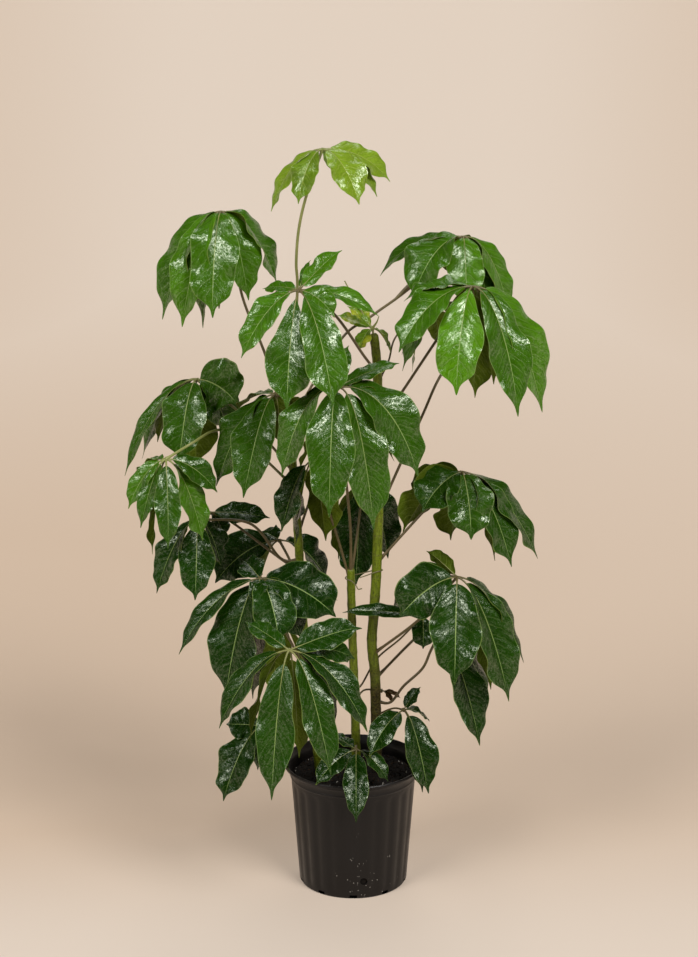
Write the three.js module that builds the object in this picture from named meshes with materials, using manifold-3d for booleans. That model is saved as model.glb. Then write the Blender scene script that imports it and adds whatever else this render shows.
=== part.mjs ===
// A potted umbrella plant: three green canes in a fluted nursery pot, each carrying long leaf stalks
// that end in a whorl of drooping leaflets. Millimetres, +Z up, the front towards -Y.
// The origin is the middle of the pot's underside.
import * as THREE from "three";
import { mergeVertices } from "three/addons/utils/BufferGeometryUtils.js";
import Module from "manifold-3d";

const wasm = await Module();
wasm.setup();

// Colours and finishes
const finish = (color, roughness) => new THREE.MeshStandardMaterial({ color, roughness, metalness: 0 });
const MATERIALS = {
  pot: finish(0x2b2725, 0.45),
  soil: finish(0x17120f, 0.95),
  cane: finish(0x5f7026, 0.55),
  tie: finish(0x6d6a3a, 0.5),
  mature: finish(0x2c5a22, 0.35),
  young: finish(0x4f8c2a, 0.35),
  dry: finish(0x54432a, 0.8),
};

// The pot
const POT_HEIGHT = 240;
const POT_BASE_RADIUS = 103;
const POT_WALL_TOP = { radius: 118, z: 212 };
const POT_RIM_RADIUS = 132.5;
const POT_WALL = 2;
const POT_FLOOR = 4;
const FLUTES = 24;
const FLUTE_DEPTH = 1.4;
const DRAIN_HOLES = { count: 4, radius: 7, length: 16, sides: 12, z: 36, first: 11 };
const FOOT_NOTCHES = { count: 10, width: 8, height: 3, depth: 4 };

// The soil
const SOIL_TOP = 214;
const SOIL_CROWN = 5;

// Touching solids keep this far apart
const SEAT_GAP = 0.4;

// The canes, each a smooth line through points chosen by hand, with its radius at its foot and its top
const CANES = {
  left: {
    points: [[-62, 12, 84], [-64, 12, 214], [-89, 10, 440], [-101, 0, 665], [-110, 0, 805], [-117, -8, 940]],
    radii: [9.5, 7],
  },
  middle: {
    points: [[6, 12, 84], [6, 12, 214], [3, 10, 358], [-2, 5, 500], [-5, 0, 625]],
    radii: [9, 7.5],
  },
  right: {
    points: [
      [46, 22, 84], [45, 22, 214], [43, 15, 328], [41, 12, 412], [35, 10, 473], [39, 6, 540], [44, 0, 640],
      [47, 0, 794], [44, 0, 987], [37, 0, 1070],
    ],
    radii: [10.5, 8],
  },
};
const CANE_SIDES = 7;
const CANE_STEPS = 7;
const CANE_RINGS = { height: 0.35, turns: 40 };

// The wire tie runs once round the middle and right canes, and its free end curls below them
const TIE_RADIUS = 1.1;
const TIE_SIDES = 5;
const TIE_LINE = [
  [16, -18, 590], [9, -16, 588], [5, -13, 594], [-3, -11, 602], [-11.6, -7.6, 604], [-14.6, 0.7, 604],
  [-11.6, 8.4, 605], [-3, 11.2, 606], [20, 12, 611], [43, 12.2, 617], [51.2, 8.6, 619], [54.2, 0.8, 620],
  [50.8, -7.6, 621], [42, -11, 620], [22, -13, 613], [12, -14.5, 610],
];

// The compound leaves. from is the height on the cane where the stalk leaves it, route the points that
// the stalk passes and hub the point that the leaflets spread from. A leaflet is its tip measured from
// the hub (right, back, up), its width, the degrees that it rolls about its rib and the share of its
// blade where it is widest. bare is the share of each leaflet that is its own short stalk. Shoots are
// bare young stalks and rolled bracts.
const LEAVES = [
  {
    name: "crown_leaf", cane: "left", from: 925, hub: [-55, -10, 1404], looks: "young", arch: 1.4,
    route: [[-101, -20, 1140], [-102, -25, 1205], [-97, -20, 1265], [-83, -20, 1325]],
    leaflets: [
      [-42, -40, -90, 50], [-92, 10, -112, 42], [65, -60, -88, 66], [97, 10, -86, 46],
      [120, 30, -62, 60, 15], [30, 90, -70, 44],
    ],
  },
  {
    name: "upper_left_leaf", cane: "left", from: 888, hub: [-235, -20, 1295], arch: 1.4, bare: 0.04,
    route: [[-160, 5, 1030], [-195, 20, 1115], [-210, 15, 1175]],
    leaflets: [
      [-13, -80, -175, 88], [-70, -40, -200, 84], [-108, 0, -195, 84], [-36, 5, -212, 74],
      [-10, 70, -190, 66], [48, -25, -155, 72], [98, 30, -142, 78],
    ],
  },
  {
    name: "centre_top_leaf", cane: "right", from: 998, hub: [-95, -150, 1180],
    route: [[20, -35, 1035], [-35, -110, 1130]],
    leaflets: [
      [-100, -30, -114, 54, -15, 0.42], [-20, -90, -190, 80, 0, 0.62],
      [60, -112, -180, 76, 0, 0.55], [62, -30, -42, 46, 25], [75, 20, 66, 38, 60],
      [-65, 60, -10, 30, -30], [20, 40, 45, 14], [-85, 40, -65, 48], [138, 20, -50, 42, 15],
    ],
  },
  {
    name: "upper_right_back_leaf", cane: "left", from: 905, hub: [200, 90, 1230], arch: 1.7, bare: 0.06,
    route: [[-25, 25, 1050], [30, 45, 1090], [110, 70, 1145]],
    leaflets: [
      [-150, 30, -78, 52], [-92, -50, -105, 92], [5, -60, -120, 66], [45, -20, -130, 54],
      [86, -10, -142, 60], [-15, 60, -90, 60],
    ],
    shoots: [
      { points: [[76, 59, 1120], [95, 66, 1138], [112, 69, 1152]], radii: [2.6, 5.2] },
    ],
  },
  {
    name: "upper_right_leaf", cane: "right", from: 897, hub: [210, -70, 1170], arch: 1.5, bare: 0.08,
    route: [[85, -15, 960], [135, -40, 1045]],
    leaflets: [
      [-120, 40, -35, 60], [-130, -40, -110, 82], [-122, 20, -158, 60], [-50, 30, -155, 66],
      [-30, -90, -175, 82, 0, 0.55], [8, 10, -205, 80], [44, 50, -190, 76], [80, -75, -218, 80],
      [128, -5, -228, 100],
    ],
  },
  {
    name: "left_leaf", cane: "left", from: 812, hub: [-285, 0, 985], arch: 1.2, bare: 0.07,
    leaflets: [
      [74, -20, -42, 116, 75], [-134, -10, -180, 34], [-105, 30, -158, 60], [-30, -62, -140, 84],
      [52, 20, -100, 86, 40], [-5, 15, -174, 90], [-80, 80, -140, 66],
    ],
  },
  {
    name: "left_front_leaf", cane: "left", from: 780, hub: [-335, -110, 865],
    route: [[-165, 5, 835], [-215, 0, 880], [-250, -42, 900], [-290, -96, 890]],
    leaflets: [
      [-50, 40, -42, 44], [-68, -16, -88, 38, -20], [-45, -35, -118, 38], [5, -65, -148, 46],
      [-30, 20, -185, 48], [64, -5, -152, 64], [90, 10, -65, 46, 30],
    ],
  },
  {
    name: "left_lower_leaf", cane: "left", from: 640, hub: [-285, -20, 725],
    route: [[-135, -5, 645], [-190, -15, 715]],
    leaflets: [
      [-78, -20, -137, 60], [-5, -60, -137, 66], [40, 0, -90, 56], [-55, 50, -95, 50],
    ],
  },
  {
    name: "centre_left_leaf", cane: "left", from: 870, hub: [-140, -70, 975], bare: 0.07,
    leaflets: [
      [-108, 0, -172, 84], [-56, -75, -172, 80], [10, 20, -105, 70], [-70, 60, -45, 50],
      [45, 40, -70, 78],
    ],
  },
  {
    name: "centre_leaf", cane: "middle", from: 612, hub: [-30, -190, 1015], arch: 2,
    route: [[-6, -30, 720], [-20, -110, 890]],
    leaflets: [
      [-95, -30, -150, 70], [-12, -100, -205, 82], [65, -55, -240, 88], [143, 0, -160, 90, 20],
      [110, 80, -120, 80], [110, 50, 32, 38, 25], [22, 60, 62, 30, 30], [-60, 50, -60, 66],
    ],
  },
  {
    name: "right_leaf", cane: "right", from: 634, hub: [200, 0, 810], arch: 0.9, bare: 0.06,
    route: [[135, 0, 740]],
    leaflets: [
      [-74, -40, -66, 84, -15], [15, -60, -112, 88], [92, -30, -174, 82], [144, 20, -174, 66],
      [-18, 20, -138, 96], [66, 50, -188, 60], [-108, 10, -120, 88, 75], [-92, 60, -66, 60, 60],
    ],
  },
  {
    name: "lower_right_leaf", cane: "right", from: 450, hub: [190, -70, 630], arch: 0.9, bare: 0.08,
    route: [[125, -40, 540]],
    leaflets: [
      [-56, 30, 40, 36, 70], [-106, -20, -70, 98, -50], [-118, 115, -108, 66, -50],
      [-6, -80, -180, 92], [97, -30, -232, 94], [128, 40, -182, 62],
    ],
  },
  {
    name: "right_inner_leaf", cane: "middle", from: 385, hub: [130, -10, 535], stalk: 1.9,
    route: [[15, 30, 380], [45, 40, 430], [90, 30, 475]],
    leaflets: [
      [-150, -30, 15, 30, -40], [20, 40, 20, 40, 40], [0, -20, -60, 44],
    ],
  },
  {
    name: "right_hanging_leaf", cane: "right", from: 355, hub: [160, -10, 496],
    route: [[70, 5, 355], [95, 0, 390], [130, 0, 425], [145, -5, 462]],
    leaflets: [
      [77, -50, -202, 72], [66, 40, -155, 56], [98, 30, -140, 56],
    ],
  },
  {
    name: "lower_left_leaf", cane: "left", from: 560, hub: [-170, -80, 630], bare: 0.07,
    leaflets: [
      [-150, -20, -140, 46], [-64, -40, -218, 102], [-5, -40, -35, 34], [35, -75, -100, 80],
      [138, -5, -72, 104, 30], [140, 80, -70, 60], [-35, 60, 15, 50, -30], [75, 0, -120, 70],
      [-16, 0, -235, 84],
    ],
  },
  {
    name: "front_leaf", cane: "middle", from: 380, hub: [-115, -200, 535], arch: 1.2,
    leaflets: [
      [-80, 40, 40, 42, -30], [130, 20, 34, 58, 55], [118, 60, -40, 60, 25], [140, -30, -145, 62],
      [82, 10, -155, 84], [75, -70, -210, 64], [-32, -60, -264, 70], [-127, -10, -146, 54],
      [16, 20, -215, 72], [-75, 50, -195, 56],
    ],
  },
  {
    name: "left_back_leaf", cane: "left", from: 620, hub: [-270, 40, 720],
    route: [[-130, 10, 635], [-230, 35, 705]],
    leaflets: [
      [115, -20, -5, 46, 40], [30, -10, -45, 44], [-35, 30, 10, 30],
    ],
  },
  {
    name: "inner_left_leaf", cane: "left", from: 580, hub: [-140, 90, 650],
    leaflets: [
      [-122, -10, -82, 88, -30], [-35, 40, 5, 44, -30], [-40, 20, -98, 88], [90, 20, -84, 84],
    ],
  },
  {
    name: "pot_left_leaf", cane: "left", from: 360, hub: [-170, -90, 345], stalk: 1.9,
    leaflets: [
      [-70, -60, -124, 70], [-8, 0, -88, 50], [50, 20, -100, 50], [-66, 10, 0, 60, -50],
    ],
  },
  {
    name: "inner_leaf", cane: "middle", from: 590, hub: [-75, -50, 845],
    route: [[-30, -12, 690]],
    leaflets: [
      [-56, -20, -128, 60], [-30, 10, -162, 78], [24, 40, -165, 76],
    ],
  },
  {
    name: "inner_back_leaf", cane: "middle", from: 600, hub: [20, 60, 775],
    route: [[8, 24, 690]],
    leaflets: [
      [-15, -20, -198, 84], [46, 20, -158, 80, 50], [-48, 50, -170, 66],
    ],
  },
  {
    name: "pot_right_leaf", cane: "right", from: 325, hub: [95, -20, 350], stalk: 1.9,
    route: [[75, 0, 345]],
    leaflets: [
      [32, 20, 38, 28, 30], [46, -60, -144, 62], [50, 30, -36, 36], [-65, -85, -60, 48, -20],
      [35, -50, -146, 46],
    ],
  },
  {
    name: "pot_front_leaf", cane: "middle", from: 262, hub: [5, -70, 290], stalk: 1.9,
    leaflets: [
      [0, -95, -105, 46], [-75, -50, -50, 42, -20], [60, -20, -55, 36], [-50, 40, 15, 36],
    ],
  },
  {
    name: "right_crown_leaf", cane: "right", from: 1055, hub: [34, -2, 1080], looks: "young", stalk: 1.9,
    leaflets: [
      [-45, 10, 38, 38, -40], [-63, 25, 18, 26, -40], [-24, -20, -36, 30], [34, 15, -50, 38],
    ],
    shoots: [
      { points: [[34, -2, 1080], [20, 8, 1100], [1, 8, 1133], [-16, 8, 1165]], radii: [1.8, 1.1] },
      { points: [[34, -2, 1080], [42, -6, 1092], [46, -8, 1104]], radii: [2.6, 0.7] },
    ],
  },
  {
    name: "back_centre_leaf", cane: "left", from: 690, hub: [-15, 220, 850], lean: 0,
    leaflets: [
      [-90, 40, -110, 60], [-30, 80, -185, 66], [40, 60, -180, 66], [95, 30, -90, 60],
      [0, 100, 10, 56],
    ],
  },
  {
    name: "back_right_leaf", cane: "right", from: 730, hub: [265, 200, 1090], lean: 0,
    route: [[125, 60, 895], [170, 120, 975]],
    leaflets: [
      [-100, 50, -110, 60], [-40, 80, -175, 66], [25, 50, -175, 66], [55, 5, -100, 50],
      [-10, 95, -45, 56],
    ],
  },
  {
    name: "back_left_leaf", cane: "left", from: 400, hub: [-160, 150, 490], lean: 0,
    leaflets: [
      [-110, 30, -95, 60], [-65, 70, -190, 66], [5, 60, -210, 66], [65, 20, -150, 60],
      [5, 95, -30, 56],
    ],
  },
  {
    name: "back_lower_leaf", cane: "right", from: 400, hub: [230, 180, 500], lean: 0,
    leaflets: [
      [-75, 40, -95, 60], [-25, 70, -195, 66], [45, 60, -210, 66], [80, 30, -115, 56],
      [15, 100, -45, 56],
    ],
  },
  {
    name: "high_back_leaf", cane: "right", from: 960, hub: [140, 120, 1105], lean: 0, stalk: 1.9,
    route: [[50, 25, 980], [65, 45, 1010], [80, 75, 1050]],
    leaflets: [
      [-30, 0, -135, 36], [-50, -30, -95, 20], [25, 30, -100, 56], [55, 60, -50, 50],
      [-5, 80, 5, 50],
    ],
  },
  {
    name: "dry_leaf", cane: "middle", from: 350, hub: [55, 40, 365], looks: "dry", stalk: 1.9,
    route: [[20, 30, 370]],
    leaflets: [
      [35, 0, -15, 14], [20, -5, -20, 12],
    ],
  },
];

// Stalks. SHEATH is how much thicker a stalk is at its foot, and over what share of its length.
const STALK_RADIUS = 2.7;
const STALK_RISE = 0.06;
const STALK_STEPS = 3;
const STALK_SIDES = 4;
const SHEATH = { swell: 0.7, share: 0.12 };
const SHOOT = { steps: 4, sides: 5 };
const HUB_RADIUS = 4.5;

// Leaflets. Their faces lean towards the light, which comes from the front, except where they point
// away from it. Each blade twists from the way that its stalk points over the first part of its
// length. A blade is laid out at the stations, more of them from a width on.
const LIGHT_LEAN = 0.8;
const TWIST_SHARE = 0.5;
const ROOT_DEPTH = 0.6 * HUB_RADIUS;
const LEAFLET_STALK = { share: 0.1, half: 1.8 };
const LEAFLET_ROLL = 0;
const WIDEST = 0.46;
const FULLNESS = 0.66;
const DRIP_TIP = { cut: 0.55, from: 0.79, to: 0.95 };
const BLADE_STATIONS = { narrow: [0.1, 0.34, 0.62, 0.87], wide: [0.06, 0.23, 0.45, 0.67, 0.88], from: 75 };
const RIB_THICKNESS = 2;

// How far a leaflet's halves fold up and its edges wave, as shares of its width: the least, and how much
// more some leaflets have
const FOLD = { least: 0.1, more: 0.18 };
const WAVE = { least: 0.05, more: 0.04, turns: 14 };
const BOW = 0.14;

// How a leaflet's line arches: its lift, what its height keeps of its fall, and how far along and down it
// two inner points lie. The more that a leaf arches, the more of each.
const ARCH = {
  lift: 0.04,
  kept: 0.08,
  near: { along: 0.36, more: 0.04, fall: 0.16, rise: 0.4 },
  far: { along: 0.74, more: 0.05, fall: 0.68, rise: 0.85 },
};

// Each leaflet has a number of its own that its chances are drawn from
const KEYS_A_LEAF = 10;

// A closed solid from rings of points, each joined to the next. A ring of one point is a tip. Where a
// blade's two faces are cut into triangles alike, the second half of each ring is cut the other way.
function loft(rings, alike = false) {
  const positions = [];
  const triangle = (a, b, c) => positions.push(...a, ...b, ...c);
  const count = Math.max(...rings.map((ring) => ring.length));
  const at = (ring, i) => ring[ring.length === 1 ? 0 : i % count].toArray();
  for (let r = 0; r + 1 < rings.length; r++) {
    for (let i = 0; i < count; i++) {
      const [a, b] = [at(rings[r], i), at(rings[r], i + 1)];
      const [c, d] = [at(rings[r + 1], i), at(rings[r + 1], i + 1)];
      const turned = alike && i >= count / 2;
      if (rings[r].length > 1) triangle(a, b, turned ? d : c);
      if (rings[r + 1].length > 1) triangle(turned ? a : b, d, c);
    }
  }
  const [first, last] = [rings[0], rings[rings.length - 1]];
  for (let i = 1; i + 1 < count; i++) {
    if (first.length > 1) triangle(at(first, 0), at(first, i + 1), at(first, i));
    if (last.length > 1) triangle(at(last, 0), at(last, i), at(last, i + 1));
  }
  return new THREE.BufferGeometry()
    .setAttribute("position", new THREE.Float32BufferAttribute(positions, 3));
}

// A geometry as a manifold-3d solid, turned the right way out
function toSolid(geometry) {
  const bare = geometry.index ? geometry.toNonIndexed() : geometry.clone();
  bare.deleteAttribute("normal");
  bare.deleteAttribute("uv");
  const merged = mergeVertices(bare, 1e-3);
  const vertProperties = merged.attributes.position.array;
  const made = (triVerts) => new wasm.Manifold(new wasm.Mesh({ numProp: 3, vertProperties, triVerts }));
  const triVerts = new Uint32Array(merged.index.array);
  const solid = made(triVerts);
  return solid.volume() > 0 ? solid : made(triVerts.slice().reverse());
}

// A manifold-3d solid as a named mesh
function toMesh(name, solid, material) {
  const { numProp, numVert, vertProperties, triVerts } = solid.getMesh();
  const positions = new Float32Array(numVert * 3);
  for (let i = 0; i < numVert; i++) {
    positions.set(vertProperties.subarray(i * numProp, i * numProp + 3), i * 3);
  }
  const geometry = new THREE.BufferGeometry()
    .setAttribute("position", new THREE.BufferAttribute(positions, 3))
    .setIndex(new THREE.BufferAttribute(new Uint32Array(triVerts), 1));
  geometry.computeVertexNormals();
  const mesh = new THREE.Mesh(geometry, material);
  mesh.name = name;
  return mesh;
}

// A smooth line through points
function smoothLine(points) {
  return new THREE.CatmullRomCurve3(points.map((p) => new THREE.Vector3(...p)), false, "catmullrom", 0.5);
}

// A round tube along a line, with a radius for each share of its length. Each ring is turned as little
// as it can be from the one before it.
function tube(line, radiusAt, steps, sides) {
  const rings = [];
  const side = new THREE.Vector3(1, 0, 0);
  for (let s = 0; s <= steps; s++) {
    const [centre, along] = [line.getPointAt(s / steps), line.getTangentAt(s / steps)];
    side.addScaledVector(along, -side.dot(along)).normalize();
    const other = new THREE.Vector3().crossVectors(along, side);
    const ring = [];
    for (let i = 0; i < sides; i++) {
      const angle = (2 * Math.PI * i) / sides;
      ring.push(centre.clone()
        .addScaledVector(side, radiusAt(s / steps) * Math.cos(angle))
        .addScaledVector(other, radiusAt(s / steps) * Math.sin(angle)));
    }
    rings.push(ring);
  }
  return toSolid(loft(rings));
}

// A repeatable number from 0 to 1
function chance(key) {
  const value = Math.sin(key * 12.9898) * 43758.5453;
  return value - Math.floor(value);
}

// The pot's wall is fluted between the foot and the flare, and its lip is rolled outwards.
function makePot() {
  const { radius, z } = POT_WALL_TOP;
  const profile = [
    [0, 0], [POT_BASE_RADIUS - 2, 0], [POT_BASE_RADIUS, 5], [radius, z - 5], [radius + 0.8, z],
    [radius + 2.4, z + 10], [POT_RIM_RADIUS - 7, z + 19], [POT_RIM_RADIUS - 1, POT_HEIGHT - 6],
    [POT_RIM_RADIUS, POT_HEIGHT - 2], [POT_RIM_RADIUS - 3, POT_HEIGHT],
    [radius + 3, z + 18], [radius - POT_WALL, z - 5], [POT_BASE_RADIUS - POT_WALL, POT_FLOOR], [0, POT_FLOOR],
  ];
  const [foot, shoulder] = [2, 3];
  const lathe = new THREE.LatheGeometry(profile.map(([r, h]) => new THREE.Vector2(r, h)), 2 * FLUTES);
  lathe.rotateX(Math.PI / 2);
  const { position } = lathe.attributes;
  const scale = 1 - FLUTE_DEPTH / radius;
  for (let step = 1; step < 2 * FLUTES; step += 2) {
    for (const row of [foot, shoulder]) {
      const i = step * profile.length + row;
      position.setXY(i, position.getX(i) * scale, position.getY(i) * scale);
    }
  }
  let pot = toSolid(lathe);
  const cut = (geometry, degrees, height) => {
    geometry.rotateZ(THREE.MathUtils.degToRad(degrees - 90));
    pot = pot.subtract(toSolid(geometry.translate(0, 0, height)));
  };
  for (let i = 0; i < DRAIN_HOLES.count; i++) {
    const { radius: bore, length, sides } = DRAIN_HOLES;
    const hole = new THREE.CylinderGeometry(bore, bore, length, sides);
    hole.rotateZ(Math.PI / 2).translate(POT_BASE_RADIUS, 0, 0);
    cut(hole, DRAIN_HOLES.first + (360 * i) / DRAIN_HOLES.count, DRAIN_HOLES.z);
  }
  const { count, width, height, depth } = FOOT_NOTCHES;
  for (let i = 0; i < count; i++) {
    const notch = new THREE.BoxGeometry(2 * depth, width, 2 * height).translate(POT_BASE_RADIUS, 0, 0);
    cut(notch, (360 * i) / count, 0);
  }
  return pot;
}

// The soil fills the pot to the foot of the flare, and each cane stands in a plain hole in it.
function makeSoil(canes) {
  const slope = (POT_WALL_TOP.radius - POT_BASE_RADIUS) / (POT_WALL_TOP.z - 5 - POT_FLOOR);
  const inside = (h) => POT_BASE_RADIUS - POT_WALL - 2 * SEAT_GAP + slope * (h - POT_FLOOR);
  const floor = POT_FLOOR + SEAT_GAP;
  const profile = [
    [0, floor], [inside(floor), floor], [inside(SOIL_TOP - 9), SOIL_TOP - 9],
    [inside(SOIL_TOP) - 5, SOIL_TOP], [60, SOIL_TOP + 0.6 * SOIL_CROWN], [0, SOIL_TOP + SOIL_CROWN],
  ];
  const lathe = new THREE.LatheGeometry(profile.map(([r, h]) => new THREE.Vector2(r, h)), FLUTES);
  let soil = toSolid(lathe.rotateX(Math.PI / 2));
  for (const cane of canes) soil = soil.subtract(cane.clearance);
  return soil;
}

// A cane, and the slightly larger form that it leaves in what stands against it
function makeCane({ points, radii }) {
  const line = smoothLine(points);
  const longer = smoothLine([
    [points[0][0], points[0][1], points[0][2] - SEAT_GAP], ...points.slice(1, -1),
    [...points.at(-1).slice(0, 2), points.at(-1)[2] + SEAT_GAP],
  ]);
  const steps = points.length + CANE_STEPS;
  const { height, turns } = CANE_RINGS;
  const radiusAt = (share) => THREE.MathUtils.lerp(...radii, share) + height * Math.sin(turns * share);
  return {
    solid: tube(line, radiusAt, steps, CANE_SIDES),
    clearance: tube(longer, (share) => radiusAt(share) + SEAT_GAP, steps, CANE_SIDES),
  };
}

// The point in the middle of a cane at a height
function caneAt({ points }, z) {
  const upper = Math.max(points.findIndex((p) => p[2] >= z), 1);
  const [a, b] = [points[upper - 1], points[upper]];
  return new THREE.Vector3(...a).lerp(new THREE.Vector3(...b), (z - a[2]) / (b[2] - a[2]));
}

// A leaflet's breadth at a share of its blade, from 0 to 1: full, with a drawn-out tip
function outline(share, widest) {
  const evened = Math.pow(share, Math.log(0.5) / Math.log(widest));
  const body = Math.pow(Math.sin(Math.PI * evened), FULLNESS);
  return body * (1 - DRIP_TIP.cut * THREE.MathUtils.smoothstep(share, DRIP_TIP.from, DRIP_TIP.to));
}

// The line that a leaflet follows: out from the hub, over, and down. A leaf with more arch lifts its
// leaflets further before they drop.
function leafletLine(hub, [right, back, up], arch, key) {
  const lift = ARCH.lift * arch * Math.hypot(right, back, up);
  const bow = (chance(key) - 0.5) * BOW;
  const along = ({ along: share, more }) => share + more * arch;
  const height = ({ fall, rise }) =>
    lift + (fall - ARCH.kept * arch) * Math.min(up, 0) + rise * Math.max(up, 0);
  const { near, far } = ARCH;
  const [inner, outer] = [along(near), along(far)];
  const from = (x, y, z) => hub.clone().add(new THREE.Vector3(x, y, z));
  return new THREE.CubicBezierCurve3(
    hub,
    from(inner * right, inner * back, height(near)),
    from(outer * right + bow * back, outer * back - bow * right, height(far)),
    from(right, back, up),
  );
}

// A leaflet is a thin blade with a folded rib and waved edges, on a short stalk of its own.
function makeLeaflet(hub, [right, back, up, width, degrees = LEAFLET_ROLL, widest = WIDEST], leaf, key) {
  const { lean = LIGHT_LEAN, arch = 1, bare: stalk = LEAFLET_STALK.share } = leaf;
  const line = leafletLine(hub, [right, back, up], arch, key);
  const roll = THREE.MathUtils.degToRad(degrees);
  const heading = new THREE.Vector2(right, back).normalize();
  const lit = new THREE.Vector2(heading.x, heading.y - lean * (1 - Math.max(heading.y, 0)));
  const twist = Math.atan2(heading.cross(lit), heading.dot(lit));
  const fold = FOLD.least + FOLD.more * chance(key + 0.3);
  const wave = WAVE.least + WAVE.more * chance(key + 0.6);
  const phase = 2 * Math.PI * chance(key + 0.9);
  const ring = (share, half, rib, [leftLift, rightLift]) => {
    const [centre, along] = [line.getPointAt(share), line.getTangentAt(share)];
    const facing = heading.angle() + twist * THREE.MathUtils.smoothstep(share, 0, TWIST_SHARE);
    const side = new THREE.Vector3(Math.sin(facing), -Math.cos(facing), 0);
    side.addScaledVector(along, -side.dot(along)).normalize().applyAxisAngle(along, roll);
    const face = new THREE.Vector3().crossVectors(side, along);
    const place = (s, f) => centre.clone().addScaledVector(side, s).addScaledVector(face, f);
    return [place(-half, leftLift), place(0, rib / 2), place(half, rightLift), place(0, -rib / 2)];
  };
  const stalkHalf = LEAFLET_STALK.half;
  const inward = hub.clone().sub(line.getPointAt(stalk)).normalize();
  const root = hub.clone().addScaledVector(inward, ROOT_DEPTH);
  const rings = [[root], ring(stalk, stalkHalf, 2 * stalkHalf, [0, 0])];
  for (const station of width < BLADE_STATIONS.from ? BLADE_STATIONS.narrow : BLADE_STATIONS.wide) {
    const breadth = width * outline(station, widest);
    const half = Math.max(breadth / 2, stalkHalf);
    const swing = wave * breadth;
    const ripple = (side) => half * fold + swing * Math.sin(WAVE.turns * station + phase + side);
    rings.push(ring(stalk + (1 - stalk) * station, half, RIB_THICKNESS, [ripple(0), ripple(2)]));
  }
  rings.push([line.getPointAt(1)]);
  return toSolid(loft(rings, true));
}

// A compound leaf: a long stalk with a sheath round its foot, a knuckle at its end, the leaflets and any
// shoots. It is cut clear of the cane that it grows on.
function makeLeaf(leaf, number, clearance) {
  const { cane, from, hub, route, leaflets, shoots = [], stalk = STALK_RADIUS } = leaf;
  const [start, end] = [caneAt(CANES[cane], from), new THREE.Vector3(...hub)];
  const middle = start.clone().lerp(end, 0.5);
  middle.z += STALK_RISE * start.distanceTo(end);
  const line = smoothLine([start.toArray(), ...(route ?? [middle.toArray()]), hub]);
  const sheath = (share) => stalk * (1 + SHEATH.swell * (1 - Math.min(share / SHEATH.share, 1)));
  let whole = tube(line, sheath, STALK_STEPS + (route ?? []).length, STALK_SIDES);
  whole = whole.add(toSolid(new THREE.OctahedronGeometry(HUB_RADIUS).translate(...hub)));
  leaflets.forEach((leaflet, i) => {
    whole = whole.add(makeLeaflet(end, leaflet, leaf, KEYS_A_LEAF * number + i + 1));
  });
  for (const { points, radii } of shoots) {
    const radiusAt = (share) => THREE.MathUtils.lerp(...radii, share);
    whole = whole.add(tube(smoothLine(points), radiusAt, SHOOT.steps, SHOOT.sides));
  }
  return whole.subtract(clearance);
}

// Put the plant together
const plant = new THREE.Group();
const canes = Object.fromEntries(Object.entries(CANES).map(([name, cane]) => [name, makeCane(cane)]));
plant.add(toMesh("pot", makePot(), MATERIALS.pot));
plant.add(toMesh("soil", makeSoil(Object.values(canes)), MATERIALS.soil));
for (const [name, cane] of Object.entries(canes)) {
  plant.add(toMesh(`${name}_cane`, cane.solid, MATERIALS.cane));
}
const tie = tube(smoothLine(TIE_LINE), () => TIE_RADIUS, 2 * TIE_LINE.length, TIE_SIDES);
plant.add(toMesh("wire_tie", tie, MATERIALS.tie));
LEAVES.forEach((leaf, number) => {
  const whole = makeLeaf(leaf, number, canes[leaf.cane].clearance);
  plant.add(toMesh(leaf.name, whole, MATERIALS[leaf.looks ?? "mature"]));
});

export default plant;
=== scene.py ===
# %% [markdown]
# # A potted umbrella plant
#
# This lesson dresses a tall umbrella plant in its nursery pot. The plant was first modelled in plain
# solids, and that model is loaded here as a frame: each solid says where a piece is and how big it is.
# The fine pot, soil, canes and leaves that take their places are made step by step below.
#
# Sizes are in metres, and the tables of points are in millimetres. +Z is up, the front is towards -Y, and
# the origin is under the middle of the pot.

import math

import bpy
import numpy as np
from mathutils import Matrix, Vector


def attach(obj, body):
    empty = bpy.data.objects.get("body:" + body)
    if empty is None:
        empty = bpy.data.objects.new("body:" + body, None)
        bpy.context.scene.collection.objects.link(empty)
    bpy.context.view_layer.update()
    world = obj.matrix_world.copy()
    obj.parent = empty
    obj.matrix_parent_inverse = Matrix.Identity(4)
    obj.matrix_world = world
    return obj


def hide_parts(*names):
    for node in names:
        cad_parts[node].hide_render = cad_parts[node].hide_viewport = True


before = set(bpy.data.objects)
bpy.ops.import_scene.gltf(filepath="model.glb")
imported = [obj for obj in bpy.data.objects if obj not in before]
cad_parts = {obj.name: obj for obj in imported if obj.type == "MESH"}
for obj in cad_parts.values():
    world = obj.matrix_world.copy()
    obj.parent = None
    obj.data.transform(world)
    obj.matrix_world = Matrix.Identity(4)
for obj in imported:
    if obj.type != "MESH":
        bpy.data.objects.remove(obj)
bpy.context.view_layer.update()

# %% [markdown]
# ## The camera
#
# The view looks slightly down on the plant, from a little over four metres away. A long lens keeps the
# canes nearly parallel. The camera comes first, so that every later step can be looked at through it.

# %% Set up the camera
CAMERA_PLACE = (-0.008, -4.2, 2.0)
CAMERA_PITCH = math.radians(15.98)
CAMERA_LENS = 89.36

camera_data = bpy.data.cameras.new("camera")
camera_data.lens = CAMERA_LENS
camera = bpy.data.objects.new("camera", camera_data)
camera.location = CAMERA_PLACE
camera.rotation_euler = (math.pi / 2 - CAMERA_PITCH, 0, 0)
bpy.context.scene.collection.objects.link(camera)
bpy.context.scene.camera = camera
print("camera", CAMERA_PLACE, "lens", CAMERA_LENS, "mm")

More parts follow.
